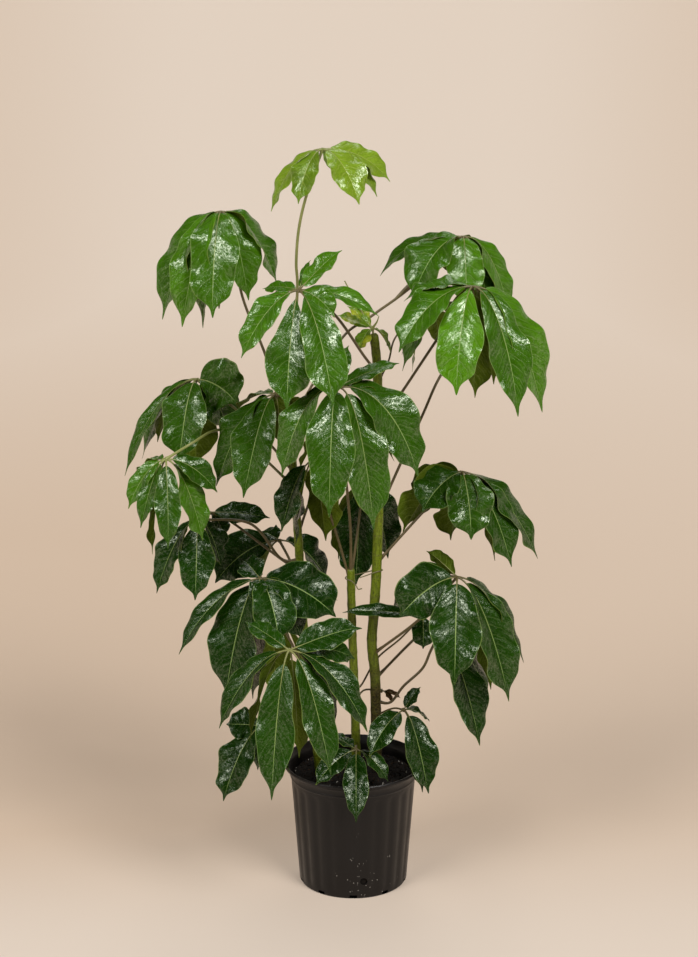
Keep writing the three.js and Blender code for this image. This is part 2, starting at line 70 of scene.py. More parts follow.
# %% [markdown]
# ## Short calls for node trees
#
# Materials and Geometry Nodes are both trees of nodes. Written out one by one, their nodes and links fill
# pages and hide the idea. This small helper adds a node, fills its inputs with numbers or with the outputs
# of other nodes, and hands back what comes out, so that a tree reads like a formula. The same calls serve
# both kinds of tree, because their arithmetic nodes are the same.


# %% A helper that wires nodes
class Wiring:
    """Adds nodes to one tree and links them."""

    def __init__(self, tree):
        self.tree = tree

    def put(self, socket, value):
        """Fills an input with a number, or links it to another node's output."""
        if isinstance(value, bpy.types.NodeSocket):
            self.tree.links.new(value, socket)
        elif value is not None:
            socket.default_value = value

    def node(self, kind, inputs=None, **settings):
        made = self.tree.nodes.new(kind)
        for name, value in settings.items():
            setattr(made, name, value)
        for name, value in (inputs or {}).items():
            self.put(made.inputs[name], value)
        return made

    def result(self, kind, inputs=None, **settings):
        """Adds a node and hands back its first output."""
        return self.node(kind, inputs, **settings).outputs[0]

    def math(self, operation, *values):
        return self.result("ShaderNodeMath", dict(enumerate(values)), operation=operation)

    def plus(self, first, second):
        return self.math("ADD", first, second)

    def minus(self, first, second):
        return self.math("SUBTRACT", first, second)

    def times(self, first, second):
        return self.math("MULTIPLY", first, second)

    def vector(self, operation, *values):
        made = self.node("ShaderNodeVectorMath", dict(enumerate(values)), operation=operation)
        return made.outputs["Value" if operation in ("LENGTH", "DOT_PRODUCT") else "Vector"]

    def scaled(self, value, factor):
        return self.result("ShaderNodeVectorMath", {0: value, "Scale": factor}, operation="SCALE")

    def parts(self, value):
        """The x, y and z of a vector."""
        return self.node("ShaderNodeSeparateXYZ", {0: value}).outputs

    def combined(self, x=None, y=None, z=None):
        """A vector from its x, y and z."""
        return self.result("ShaderNodeCombineXYZ", {0: x, 1: y, 2: z})

    def band(self, value, start, end, low=0.0, high=1.0):
        """Goes smoothly from low to high while value goes from start to end."""
        inputs = {0: value, 1: start, 2: end, 3: low, 4: high}
        return self.result("ShaderNodeMapRange", inputs, interpolation_type="SMOOTHSTEP")

    def blend(self, share, first, second, mode="MIX"):
        inputs = {0: share, 6: first, 7: second}
        return self.node("ShaderNodeMix", inputs, data_type="RGBA", blend_type=mode).outputs[2]

    def coats(self, colour, *layers):
        """Lays coats over a colour, one by one. Each is a share, an amount and another colour."""
        for share, amount, other in layers:
            colour = self.blend(self.times(share, amount), colour, other)
        return colour

    def noise(self, where, scale, detail=3.0, roughness=0.5):
        inputs = {"Vector": where, "Scale": scale, "Detail": detail, "Roughness": roughness}
        return self.result("ShaderNodeTexNoise", inputs)

    def cells(self, where, scale, feature="F1"):
        return self.result("ShaderNodeTexVoronoi", {"Vector": where, "Scale": scale}, feature=feature)

    def joined(self, *pieces):
        """One geometry from several."""
        whole = self.node("GeometryNodeJoinGeometry")
        for piece in pieces:
            self.put(whole.inputs[0], piece)
        return whole.outputs[0]


def tree_value(wiring, name):
    """A number stored on the mesh, inside a Geometry Nodes tree."""
    return wiring.node("GeometryNodeInputNamedAttribute", {"Name": name}).outputs["Attribute"]


def shader_value(wiring, name):
    """A number stored on the mesh, inside a material."""
    return wiring.node("ShaderNodeAttribute", attribute_name=name).outputs["Fac"]


print("wiring calls:", ", ".join(name for name in vars(Wiring) if not name.startswith("_")))


# %% Helpers that start a finish and a Geometry Nodes tree
def new_finish(name):
    """An empty material, its wiring, its shader and the place on the surface in metres."""
    material = bpy.data.materials.new(name)
    material.use_nodes = True
    material.node_tree.nodes.clear()
    wiring = Wiring(material.node_tree)
    shader = wiring.node("ShaderNodeBsdfPrincipled")
    wiring.node("ShaderNodeOutputMaterial", {"Surface": shader.outputs[0]})
    where = wiring.node("ShaderNodeTexCoord").outputs["Object"]
    return material, wiring, shader, where


def raise_surface(wiring, shader, height, metres, strength=1.0):
    """Bumps the surface: a height of 1 stands that many metres proud."""
    inputs = {"Height": height, "Distance": metres, "Strength": strength}
    wiring.put(shader.inputs["Normal"], wiring.result("ShaderNodeBump", inputs))


def new_tree(name, sizes):
    """A Geometry Nodes tree with a geometry going in and out, and an input for each named size."""
    tree = bpy.data.node_groups.new(name, "GeometryNodeTree")
    for way in ("INPUT", "OUTPUT"):
        tree.interface.new_socket("Geometry", in_out=way, socket_type="NodeSocketGeometry")
    kinds = {int: "NodeSocketInt", float: "NodeSocketFloat", bpy.types.Material: "NodeSocketMaterial"}
    for label, value in sizes.items():
        socket = tree.interface.new_socket(label, in_out="INPUT", socket_type=kinds[type(value)])
        socket.default_value = value
    wiring = Wiring(tree)
    return tree, wiring, wiring.node("NodeGroupInput").outputs


def smooth_below(wiring, geometry, sharp_bend):
    """Shades a geometry smooth, except over edges that bend by more than so many radians."""
    bend = wiring.node("GeometryNodeInputMeshEdgeAngle").outputs["Unsigned Angle"]
    inputs = {"Geometry": geometry, "Selection": wiring.math("LESS_THAN", bend, sharp_bend)}
    return wiring.result("GeometryNodeSetShadeSmooth", inputs, domain="EDGE")


def close_tree(wiring, geometry, dressings):
    """Ends a tree: copies made real, and each material set on its share of the faces."""
    made = wiring.result("GeometryNodeRealizeInstances", {"Geometry": geometry})
    for material, selection in dressings:
        inputs = {"Geometry": made, "Material": material, "Selection": selection}
        made = wiring.result("GeometryNodeSetMaterial", inputs)
    wiring.node("NodeGroupOutput", {0: made})


def grow(name, base, tree, sizes):
    """Runs a tree on a mesh and keeps the result as a plain mesh in an object of its own."""
    holder = bpy.data.objects.new(name, base)
    bpy.context.scene.collection.objects.link(holder)
    modifier = holder.modifiers.new("Build", "NODES")
    modifier.node_group = tree
    for item in tree.interface.items_tree:
        if item.in_out == "INPUT" and item.name in sizes:
            modifier[item.identifier] = sizes[item.name]
    graph = bpy.context.evaluated_depsgraph_get()
    made = bpy.data.meshes.new_from_object(
        holder.evaluated_get(graph), preserve_all_data_layers=True, depsgraph=graph)
    holder.modifiers.remove(modifier)
    holder.data = made
    made.name = name
    return holder


def seat(piece, slot, *nodes):
    """Gives a finished piece its body and the solids that it stands for.

    The slot is not used.
    """
    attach(piece, "root")
    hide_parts(*nodes)
    print(piece.name, len(piece.data.polygons), "faces, stands for", ", ".join(nodes))


print("helpers ready")

# %% [markdown]
# ## Floor and light
#
# A studio paper sweep is one even pale surface. A wide floor shows the same and leaves the plant open from
# every side. Its tone carries painted shade: it sinks a little behind the plant, more on the left, and
# towards the far sides, and rises again far away, as on a lit sweep. It also has a faint painted glow,
# which softens the shadows on it.
#
# Area lamps would fall off with distance and leave the far floor dark, so the lamps here are suns, which
# light it evenly: a key from the upper right and a fill from the left, small enough to lay crisp sheens
# along the leaves, and a broader, weak back light. Overhead the sky stays dim, because a bright one would
# be mirrored in every leaf and grey its colour. Only low down, at the sides and behind the plant, is it
# pale like a studio's walls.

# %% Lay the floor
FLOOR_HALF = 30.0
FLOOR_PALE = (0.705, 0.605, 0.513, 1)
FLOOR_PAINTED_SHADE = (0.6, 0.47, 0.36, 1)
FLOOR_PAINTED_GLOW = 0.3

paper, wiring, shader, where = new_finish("studio paper")
right, back, _ = wiring.parts(where)
# Painted shade: the floor is darker behind the plant, a little more on its left, and towards the far sides,
# and pale again far away.
painted_floor_shade = wiring.times(wiring.band(back, -0.38, 0.35), wiring.band(back, 7.0, 0.8))
painted_floor_shade = wiring.times(painted_floor_shade, wiring.band(right, 1.0, -1.0, 0.8, 1.15))
painted_side_shade = wiring.math("DIVIDE", wiring.math("ABSOLUTE", right), wiring.minus(back, CAMERA_PLACE[1]))
painted_side_shade = wiring.times(wiring.band(painted_side_shade, 0.06, 0.17, 0.0, 0.5), wiring.band(back, 1.0, 6.0))
tone = wiring.blend(wiring.math("MAXIMUM", painted_floor_shade, painted_side_shade), FLOOR_PALE, FLOOR_PAINTED_SHADE)
# Painted glow: the floor's emission lifts its shadows, and what it glows it doesn't reflect.
reflected = (1 - FLOOR_PAINTED_GLOW, 1 - FLOOR_PAINTED_GLOW, 1 - FLOOR_PAINTED_GLOW, 1)
wiring.put(shader.inputs["Base Color"], wiring.blend(1.0, tone, reflected, "MULTIPLY"))
wiring.put(shader.inputs["Emission Color"], tone)
shader.inputs["Emission Strength"].default_value = FLOOR_PAINTED_GLOW
shader.inputs["Roughness"].default_value = 0.9
shader.inputs["Specular IOR Level"].default_value = 0.0

corners = [(-FLOOR_HALF, -FLOOR_HALF, 0), (FLOOR_HALF, -FLOOR_HALF, 0),
           (FLOOR_HALF, FLOOR_HALF, 0), (-FLOOR_HALF, FLOOR_HALF, 0)]
floor_mesh = bpy.data.meshes.new("studio_floor")
floor_mesh.from_pydata(corners, [], [(0, 1, 2, 3)])
floor_mesh.materials.append(paper)
studio_floor = bpy.data.objects.new("studio_floor", floor_mesh)
bpy.context.scene.collection.objects.link(studio_floor)
print("floor", 2 * FLOOR_HALF, "m across")

# %% Hang the lamps
LAMP_COLOUR = (1.0, 0.98, 0.96)
LAMP_TARGET = (0, 0, 0.75)


def hang_lamp(name, place, breadth, strength):
    """A sun that shines from a place to the plant, and looks as broad as so many degrees."""
    data = bpy.data.lights.new(name, "SUN")
    data.angle = math.radians(breadth)
    data.energy = strength
    data.color = LAMP_COLOUR
    lamp = bpy.data.objects.new(name, data)
    lamp.location = place
    lamp.rotation_euler = (Vector(LAMP_TARGET) - Vector(place)).to_track_quat("-Z", "Y").to_euler()
    bpy.context.scene.collection.objects.link(lamp)
    print(name, "at", place, "strength", strength)


hang_lamp("key_light", (1.8, -2.4, 3.4), 26, 2.45)
hang_lamp("fill_light", (-2.2, -2.2, 3.0), 26, 1.8)
hang_lamp("back_light", (0.4, 2.2, 3.6), 34, 0.7)

# %% Paint the sky
SKY_COLOUR = (1.0, 0.85, 0.7, 1)
SKY_DIM, SKY_PALE = 0.05, 0.68

sky = bpy.data.worlds.new("studio")
sky.use_nodes = True
wiring = Wiring(sky.node_tree)
toward = wiring.node("ShaderNodeTexCoord").outputs["Generated"]
_, back, up = wiring.parts(toward)
low_sky = wiring.times(wiring.band(up, 0.32, 0.24), wiring.band(back, -0.6, -0.3))
backdrop = sky.node_tree.nodes["Background"]
backdrop.inputs["Color"].default_value = SKY_COLOUR
wiring.put(backdrop.inputs["Strength"], wiring.band(low_sky, 0.0, 1.0, SKY_DIM, SKY_PALE))
bpy.context.scene.world = sky
bpy.context.scene.view_settings.view_transform = "Standard"
print("sky strength from", SKY_DIM, "overhead to", SKY_PALE, "low behind the plant")

# %% [markdown]
# ## The pot
#
# A nursery pot is one thin moulding: a slightly tapered wall with shallow flutes that stiffen it, a flared
# shoulder and a rolled lip. Round its foot are drain holes and small notches. A pot like this could be
# spun with the Screw modifier, but its flutes, holes and notches repeat round the axis. So the plain wall
# is spun from a profile in a few lines of code, and a Geometry Nodes tree presses the flutes into it and
# cuts the holes and notches with copies of a drill and of a small block.

# %% Spin the plain wall
MM = 0.001
POT_STEPS = 288
POT_FOOT = 103.0
POT_SHOULDER = 118.0
WALL_START = 5.0
WALL_RISE = 202.0
WALL_ROWS = np.linspace(6.0, 206.0, 34)


def wall_radius(height):
    """The outer radius of the tapered wall at a height, in millimetres."""
    return POT_FOOT + (POT_SHOULDER - POT_FOOT) * (height - WALL_START) / WALL_RISE


def spin(profile, steps):
    """Points and faces of a closed form spun round +Z. The profile starts and ends on the axis."""
    turns = np.linspace(0, 2 * np.pi, steps, endpoint=False)
    points, rows, faces = [], [], []
    for radius, height in profile:
        if radius == 0:
            rows.append([len(points)] * steps)
            points.append((0, 0, height))
            continue
        rows.append([len(points) + i for i in range(steps)])
        points.extend((radius * math.cos(t), radius * math.sin(t), height) for t in turns)
    for low, high in zip(rows, rows[1:]):
        for i in range(steps):
            ring = (low[i], low[(i + 1) % steps], high[(i + 1) % steps], high[i])
            faces.append(tuple(dict.fromkeys(ring)))
    return np.array(points) * MM, faces


pot_profile = [
    (0, 0), (60, 0), (98, 0), (100.4, 0.2), (101.9, 1.1), (102.7, 2.6), (wall_radius(4.6), 4.6),
    *[(wall_radius(height), height) for height in WALL_ROWS],
    (118.3, 209.2), (118.9, 211.6), (119.9, 212.4), (120.5, 213.6), (120.4, 215.2), (119.9, 216.6),
    (120.0, 219), (120.6, 222), (121.8, 225.4), (123.6, 228.6), (126.0, 231.2), (128.6, 232.8),
    (130.6, 233.7), (131.9, 234.9), (132.5, 236.6), (132.2, 238.3), (131.2, 239.5), (129.8, 240),
    (128.4, 239.6), (127.2, 238.6), (125.4, 236.0), (123.2, 233.0), (121.2, 229.6), (119.6, 225.4),
    (118.4, 220.0), (117.4, 213), (116.2, 206), (101.2, 8), (99, 4.6), (0, 4.6),
]
pot_points, pot_faces = spin(pot_profile, POT_STEPS)
pot_mesh = bpy.data.meshes.new("nursery_pot")
pot_mesh.from_pydata(pot_points.tolist(), [], pot_faces)
print("plain pot", len(pot_faces), "faces")

# %% [markdown]
# ## The pot's plastic
#
# The plastic is a dark brown that is nearly black, moulded with a soft sheen and faint upright streaks. A
# few pale spots of dried mix cling low on the wall, where watering splashed them. Noise that is pulled
# long in height gives the streaks, and a cell pattern gives the spots, kept only near the splash. The
# insides of the notches get a painted shade of next to no colour and no gloss, because hardly any light
# finds its way into them.

# %% The pot's moulded plastic
SPLASH = (0.028, -0.103, 0.05)
SPLASH_THINNING = 2.8  # how fast the spots get rarer away from the splash
NOTCH_REACH = 0.1  # the inner faces of the notches lie nearer to the axis than this
NOTCH_TOP = 0.01  # and lower than this

pot_plastic, wiring, shader, where = new_finish("pot plastic")
pull = wiring.result("ShaderNodeMapping", {"Vector": where, "Scale": (1, 1, 0.06)})
streaks = wiring.noise(pull, 60.0, 4.0, 0.6)
clouds = wiring.noise(where, 16.0, 4.0, 0.6)
from_splash = wiring.vector("LENGTH", wiring.vector("SUBTRACT", where, SPLASH))
splashed = wiring.minus(wiring.noise(where, 95.0, 1.0), wiring.times(from_splash, SPLASH_THINNING))
spots = wiring.band(wiring.cells(where, 190.0), 0.2, 0.12)
spots = wiring.times(spots, wiring.band(splashed, 0.44, 0.48))
scuffs = wiring.times(wiring.band(streaks, 0.55, 0.8), wiring.band(clouds, 0.42, 0.7))
# Painted shade: the notches' inner faces lie nearer the axis than the wall and below its foot. They are
# coloured nearly black and lose their gloss.
from_axis = wiring.vector("LENGTH", wiring.vector("MULTIPLY", where, (1.0, 1.0, 0.0)))
outside = wiring.math("GREATER_THAN", from_axis, NOTCH_REACH)
above = wiring.math("GREATER_THAN", wiring.parts(where)[2], NOTCH_TOP)
outside_painted_shade = wiring.math("MAXIMUM", outside, above)
plastic_tone = wiring.blend(scuffs, (0.006, 0.0047, 0.0042, 1), (0.016, 0.013, 0.011, 1))
plastic_tone = wiring.blend(outside_painted_shade, (0.0005, 0.0005, 0.0005, 1), plastic_tone)
wiring.put(shader.inputs["Base Color"], wiring.blend(spots, plastic_tone, (0.3, 0.28, 0.25, 1)))
wiring.put(shader.inputs["Roughness"], wiring.band(wiring.plus(clouds, streaks), 0.7, 1.3, 0.28, 0.46))
wiring.put(shader.inputs["Specular IOR Level"], wiring.times(outside_painted_shade, 0.3))
relief = wiring.plus(wiring.noise(where, 1400.0, 2.0), wiring.times(streaks, 1.4))
raise_surface(wiring, shader, relief, 0.00012, 0.6)
print("pot plastic ready")

# %% Press the flutes
POT_SIZES = {
    "Flutes": 24, "Flute depth": 1.6 * MM, "Drain holes": 4, "Drain hole radius": 7.0 * MM,
    "Foot notches": 10, "Plastic": pot_plastic,
}
pot_tree, wiring, entry = new_tree("Fluted pot", POT_SIZES)
x, y, z = wiring.parts(wiring.result("GeometryNodeInputPosition"))
turn = wiring.math("ARCTAN2", y, x)
reach = wiring.math("SQRT", wiring.plus(wiring.times(x, x), wiring.times(y, y)))
wave = wiring.math("COSINE", wiring.times(turn, entry["Flutes"]))
groove = wiring.math("POWER", wiring.math("MULTIPLY_ADD", wave, -0.5, 0.5), 1.4)
# Points farther out than this lie on the outside of the wall.
inner_limit = wiring.math("MULTIPLY_ADD", z, (POT_SHOULDER - POT_FOOT) / WALL_RISE, (POT_FOOT - 1.0) * MM)
on_wall = wiring.math("GREATER_THAN", reach, inner_limit)
span = wiring.times(wiring.band(z, 0.004, 0.02), wiring.band(z, 0.207, 0.196))
depth = wiring.times(groove, wiring.times(span, entry["Flute depth"]))
inward = wiring.scaled(wiring.combined(x, y), wiring.math("DIVIDE", wiring.times(depth, -1.0), reach))
fluted = wiring.result("GeometryNodeSetPosition", {
    "Geometry": entry["Geometry"], "Selection": on_wall, "Offset": inward})
print("the wall gets", POT_SIZES["Flutes"], "flutes")

# %% Cut the holes and notches
HOLE_HEIGHT = 36 * MM
HOLE_LENGTH = 16 * MM
NOTCH_BLOCK = (20 * MM, 14 * MM, 7 * MM)
NOTCH_HEIGHT = 4.1 * MM
FRONT = -math.pi / 2
FIRST_HOLE = FRONT + math.radians(11)


def ring_of_cutters(count, height, first_turn, cutter):
    """Copies of a cutter at even turns round the pot's foot, each lying along its own radius."""
    ring = wiring.result("GeometryNodeMeshCircle", {"Vertices": count, "Radius": POT_FOOT * MM})
    moved = wiring.result("GeometryNodeTransform", {
        "Geometry": ring, "Translation": (0, 0, height), "Rotation": (0, 0, first_turn)})
    outward = wiring.vector("MULTIPLY", wiring.result("GeometryNodeInputPosition"), (1, 1, 0))
    facing = wiring.result("FunctionNodeAlignRotationToVector", {"Vector": outward}, axis="X")
    copies = wiring.result("GeometryNodeInstanceOnPoints", {
        "Points": moved, "Instance": cutter, "Rotation": facing})
    return wiring.result("GeometryNodeRealizeInstances", {"Geometry": copies})


drill = wiring.result("GeometryNodeMeshCylinder", {
    "Vertices": 28, "Radius": entry["Drain hole radius"], "Depth": HOLE_LENGTH})
drill = wiring.result("GeometryNodeTransform", {"Geometry": drill, "Rotation": (0, math.pi / 2, 0)})
block = wiring.result("GeometryNodeMeshCube", {"Size": NOTCH_BLOCK})
cut = wiring.node("GeometryNodeMeshBoolean", {"Mesh 1": fluted}, operation="DIFFERENCE")
wiring.put(cut.inputs["Mesh 2"], ring_of_cutters(entry["Drain holes"], HOLE_HEIGHT, FIRST_HOLE, drill))
wiring.put(cut.inputs["Mesh 2"], ring_of_cutters(entry["Foot notches"], NOTCH_HEIGHT, FRONT, block))
close_tree(wiring, smooth_below(wiring, cut.outputs[0], 0.6), [(entry["Plastic"], True)])
nursery_pot = grow("nursery_pot", pot_mesh, pot_tree, POT_SIZES)
seat(nursery_pot, "pot", "pot")

# %% [markdown]
# ## The potting mix
#
# Potting mix is dark, coarse and lumpy: shreds of bark, crumbs, and a few white grains of perlite. The
# surface is a low mound with noise in it. The bits on it are copies of a small faceted crumb, scattered
# by Geometry Nodes with a fixed seed, each with its own size, turn and shade.

# %% The mix
mix_profile = [(0, 4.8), (99, 4.8), (113.8, 200), (114.2, 205)]
mix_profile += [(radius, 214 + 5 * (1 - (radius / 112) ** 2)) for radius in np.linspace(111, 3, 44)]
mix_points, mix_faces = spin(mix_profile + [(0, 219)], 120)
mix_mesh = bpy.data.meshes.new("potting_mix")
mix_mesh.from_pydata(mix_points.tolist(), [], mix_faces)

mix_finish, wiring, shader, where = new_finish("potting mix")
shade = shader_value(wiring, "shade")
clods = wiring.noise(where, 120.0, 4.0, 0.65)
mix_tone = wiring.blend(wiring.band(clods, 0.35, 0.75), (0.002, 0.0015, 0.001, 1), (0.012, 0.007, 0.004, 1))
mix_tone = wiring.blend(wiring.band(shade, 0.5, 0.9), mix_tone, (0.04, 0.02, 0.009, 1))
mix_tone = wiring.blend(wiring.math("GREATER_THAN", shade, 0.955), mix_tone, (0.55, 0.52, 0.47, 1))
wiring.put(shader.inputs["Base Color"], mix_tone)
shader.inputs["Roughness"].default_value = 0.9
shader.inputs["Specular IOR Level"].default_value = 0.2
raise_surface(wiring, shader, wiring.noise(where, 700.0, 4.0, 0.7), 0.0008)
print("mound with", len(mix_faces), "faces")

# %% The crumbs on it
MIX_SIZES = {
    "Roughness": 4.5 * MM, "Crumbs per square metre": 26000.0, "Seed": 11, "Mix": mix_finish,
}
MOUND_FROM = 0.208  # everything higher than this is the mound's surface

mix_tree, wiring, entry = new_tree("Potting mix", MIX_SIZES)
place = wiring.result("GeometryNodeInputPosition")
on_top = wiring.math("GREATER_THAN", wiring.parts(place)[2], MOUND_FROM)
lumps = wiring.minus(wiring.noise(place, 70.0, 4.0, 0.6), 0.55)
ground = wiring.result("GeometryNodeSetPosition", {
    "Geometry": entry["Geometry"], "Selection": on_top,
    "Offset": wiring.combined(z=wiring.times(lumps, entry["Roughness"]))})
scatter = wiring.result("GeometryNodeDistributePointsOnFaces", {
    "Mesh": ground, "Selection": on_top, "Density": entry["Crumbs per square metre"],
    "Seed": entry["Seed"]})


def chosen(low, high, seed, kind="FLOAT_VECTOR"):
    """A random value for each crumb."""
    made = wiring.node("FunctionNodeRandomValue", {"Seed": seed}, data_type=kind)
    first = 0 if kind == "FLOAT_VECTOR" else 2
    wiring.put(made.inputs[first], low)
    wiring.put(made.inputs[first + 1], high)
    return made.outputs[0 if kind == "FLOAT_VECTOR" else 1]


crumb = wiring.result("GeometryNodeMeshIcoSphere", {"Radius": 1.0 * MM, "Subdivisions": 1})
any_turn = wiring.result("FunctionNodeEulerToRotation", {0: chosen((0, 0, 0), (6.3, 6.3, 6.3), 3)})
crumbs = wiring.result("GeometryNodeInstanceOnPoints", {
    "Points": scatter, "Instance": crumb, "Rotation": any_turn,
    "Scale": chosen((0.8, 0.6, 0.4), (4.2, 2.4, 1.3), 5)})
crumbs = wiring.result("GeometryNodeStoreNamedAttribute", {
    "Geometry": crumbs, "Name": "shade", "Value": chosen(0.0, 1.0, 7, "FLOAT")},
    data_type="FLOAT", domain="INSTANCE")
close_tree(wiring, wiring.joined(crumbs, ground), [(entry["Mix"], True)])
potting_mix = grow("potting_mix", mix_mesh, mix_tree, MIX_SIZES)
seat(potting_mix, "soil", "soil")

# %% [markdown]
# ## Lines through the plant
#
# Canes, leaf stalks, ribs and the wire tie all follow a line. A smooth line through a few chosen points is
# sampled at even steps, and every step has a thickness of its own. One Geometry Nodes tree then skins such
# threads: Mesh to Curve makes each thread a curve, and Curve to Mesh sweeps a circle along it, scaled by
# the stored thickness. The same threads could be bevelled curves, but a tree can also bend their skin.


# %% Smooth lines
def even_steps(points, shares):
    """Points at the given shares of a line's length, and the directions there."""
    gaps = np.linalg.norm(np.diff(points, axis=0), axis=1)
    lengths = np.concatenate([[0], np.cumsum(gaps)])
    at = np.asarray(shares) * lengths[-1]
    little = 1e-3 * lengths[-1]

    def places(at):
        return np.stack([np.interp(at, lengths, points[:, axis]) for axis in range(3)], axis=1)

    along = places(at + little) - places(at - little)
    return places(at), along / np.linalg.norm(along, axis=1, keepdims=True)


def smooth_line(points, steps=40):
    """Many points on a Catmull-Rom line through a few."""
    known = np.array(points, float)
    known = np.vstack([2 * known[0] - known[1], known, 2 * known[-1] - known[-2]])
    t = np.linspace(0, 1, steps, endpoint=False)[:, None]
    pieces = []
    for a, b, c, d in zip(known, known[1:], known[2:], known[3:]):
        slope_b, slope_c = (c - a) / 2, (d - b) / 2
        pieces.append(b + slope_b * t + (3 * (c - b) - 2 * slope_b - slope_c) * t ** 2
                      + (2 * (b - c) + slope_b + slope_c) * t ** 3)
    return np.vstack([*pieces, known[-2][None]])


def line_length(line):
    return np.linalg.norm(np.diff(line, axis=0), axis=1).sum()


def store_values(mesh, label, values):
    """Keeps one number for each point of a mesh, for its tree and its finish to read."""
    attribute = mesh.attributes.new(label, "FLOAT", "POINT")
    attribute.data.foreach_set("value", values.astype(np.float32))


def thread_mesh(name, points, stored):
    """A mesh that is one loose thread, from points in millimetres and the values stored on them."""
    mesh = bpy.data.meshes.new(name)
    mesh.from_pydata((points * MM).tolist(), [(i, i + 1) for i in range(len(points) - 1)], [])
    for label, values in stored.items():
        store_values(mesh, label, values)
    return mesh


print("a line through 3 points has", len(smooth_line([(0, 0, 0), (0, 0, 1), (1, 0, 2)])), "steps")


# %% The tree that skins a thread
def sweep(wiring, mesh, sides, is_thread=True):
    """Skins the threads of a mesh with a tube as thick as the number stored on each point."""
    thread = wiring.result("GeometryNodeMeshToCurve", {"Mesh": mesh, "Selection": is_thread})
    circle = wiring.result("GeometryNodeCurvePrimitiveCircle", {"Resolution": sides, "Radius": 1.0})
    return wiring.result("GeometryNodeCurveToMesh", {
        "Curve": thread, "Profile Curve": circle, "Scale": tree_value(wiring, "thickness"),
        "Fill Caps": True})


def push_out(wiring, geometry, distance):
    """Moves every point along its normal."""
    offset = wiring.scaled(wiring.result("GeometryNodeInputNormal"), distance)
    return wiring.result("GeometryNodeSetPosition", {"Geometry": geometry, "Offset": offset})


SMOOTH_BEND = 0.9
CANE_SIDES = 22
CANE_RELIEF = 1.1 * MM

rod_tree, wiring, entry = new_tree(
    "Rod", {"Sides": CANE_SIDES, "Bark relief": CANE_RELIEF, "Skin": pot_plastic})
skin = sweep(wiring, entry["Geometry"], entry["Sides"])
pull = wiring.vector("MULTIPLY", wiring.result("GeometryNodeInputPosition"), (1, 1, 0.35))
swell = wiring.minus(wiring.noise(pull, 150.0, 3.0), 0.5)
skin = push_out(wiring, skin, wiring.times(swell, entry["Bark relief"]))
close_tree(wiring, smooth_below(wiring, skin, SMOOTH_BEND), [(entry["Skin"], True)])
print("rod tree has", len(rod_tree.nodes), "nodes")

# %% [markdown]
# ## The canes
#
# Three smooth green canes rise from the mix. Wherever an old leaf has dropped there is a scar: a low ring
# with a dark line in it. The scars sit about 45 mm apart near the foot and closer towards the top, and the
# right cane is brown and corky near the mix and again under its crown. Each ring is a small swelling
# in the thread's thickness, and the thread also stores where the scars and the cork are, so that the
# bark's finish can draw them.

# %% Where the canes run
CANES = {
    "left": {
        "points": [(-62, 12, 84), (-64, 12, 214), (-89, 10, 440), (-101, 0, 665), (-110, 0, 805),
                   (-117, -8, 940)],
        "radii": (9.5, 7), "cork": 0.2,
    },
    "middle": {
        "points": [(6, 12, 84), (6, 12, 214), (3, 10, 358), (-2, 5, 500), (-5, 0, 625)],
        "radii": (9, 7.5), "cork": 0.1,
    },
    "right": {
        "points": [(46, 22, 84), (45, 22, 214), (43, 15, 328), (41, 12, 412), (35, 10, 473), (39, 6, 540),
                   (44, 0, 640), (47, 0, 794), (44, 0, 987), (37, 0, 1070)],
        "radii": (10.5, 8), "cork": 1.0,
    },
}
print(", ".join(f"{name} cane up to {cane['points'][-1][2]} mm" for name, cane in CANES.items()))

# %% The bark
bark, wiring, shader, where = new_finish("green bark")
scar, cork = (shader_value(wiring, label) for label in ("scar", "cork"))
pull = wiring.result("ShaderNodeMapping", {"Vector": where, "Scale": (1, 1, 0.12)})
fibres = wiring.noise(pull, 300.0, 5.0, 0.75)
speckles = wiring.noise(where, 330.0, 3.0, 0.7)
patches = wiring.noise(where, 34.0, 4.0, 0.6)
pores = wiring.band(wiring.cells(where, 230.0), 0.17, 0.08)
green = wiring.coats(
    wiring.blend(patches, (0.1, 0.14, 0.004, 1), (0.22, 0.28, 0.015, 1)),
    (wiring.band(fibres, 0.42, 0.62), 0.6, (0.045, 0.065, 0.003, 1)),
    (wiring.band(speckles, 0.5, 0.66), 0.7, (0.03, 0.032, 0.004, 1)),
)
brown = wiring.blend(wiring.band(speckles, 0.35, 0.65), (0.085, 0.07, 0.012, 1), (0.014, 0.011, 0.003, 1))
corky = wiring.band(wiring.plus(cork, wiring.times(patches, 0.7)), 0.75, 1.15)
bark_tone = wiring.coats(
    wiring.blend(corky, green, brown),
    (pores, 0.5, (0.28, 0.25, 0.13, 1)),
    (scar, 0.4, (0.09, 0.08, 0.03, 1)),
)
wiring.put(shader.inputs["Base Color"], bark_tone)
wiring.put(shader.inputs["Roughness"], wiring.band(corky, 0.0, 1.0, 0.42, 0.75))
shader.inputs["Specular IOR Level"].default_value = 0.25
raise_surface(wiring, shader, wiring.minus(fibres, wiring.times(scar, 0.8)), 0.0006, 0.8)
print("bark ready")

# %% Grow the canes
MIX_TOP = 214
SCAR_GAP = (46.0, 24.0)
SCAR_SHIFT = 9.0
RING_SWELL = 0.5
FOOT_CORK = 330  # the cork fades out over so many millimetres above the mix
TOP_CORK = (1020, 40)  # the height where it comes back, and over how many millimetres it grows
CANE_STEP = 2.6


def scar_heights(foot, top):
    """Heights of the leaf scars up a cane, closer together towards its top."""
    heights, at = [], foot
    while at < top - 8:
        share = (at - foot) / (top - foot)
        at += SCAR_GAP[0] + (SCAR_GAP[1] - SCAR_GAP[0]) * share + SCAR_SHIFT * math.sin(1.7 * at)
        heights.append(at)
    return heights


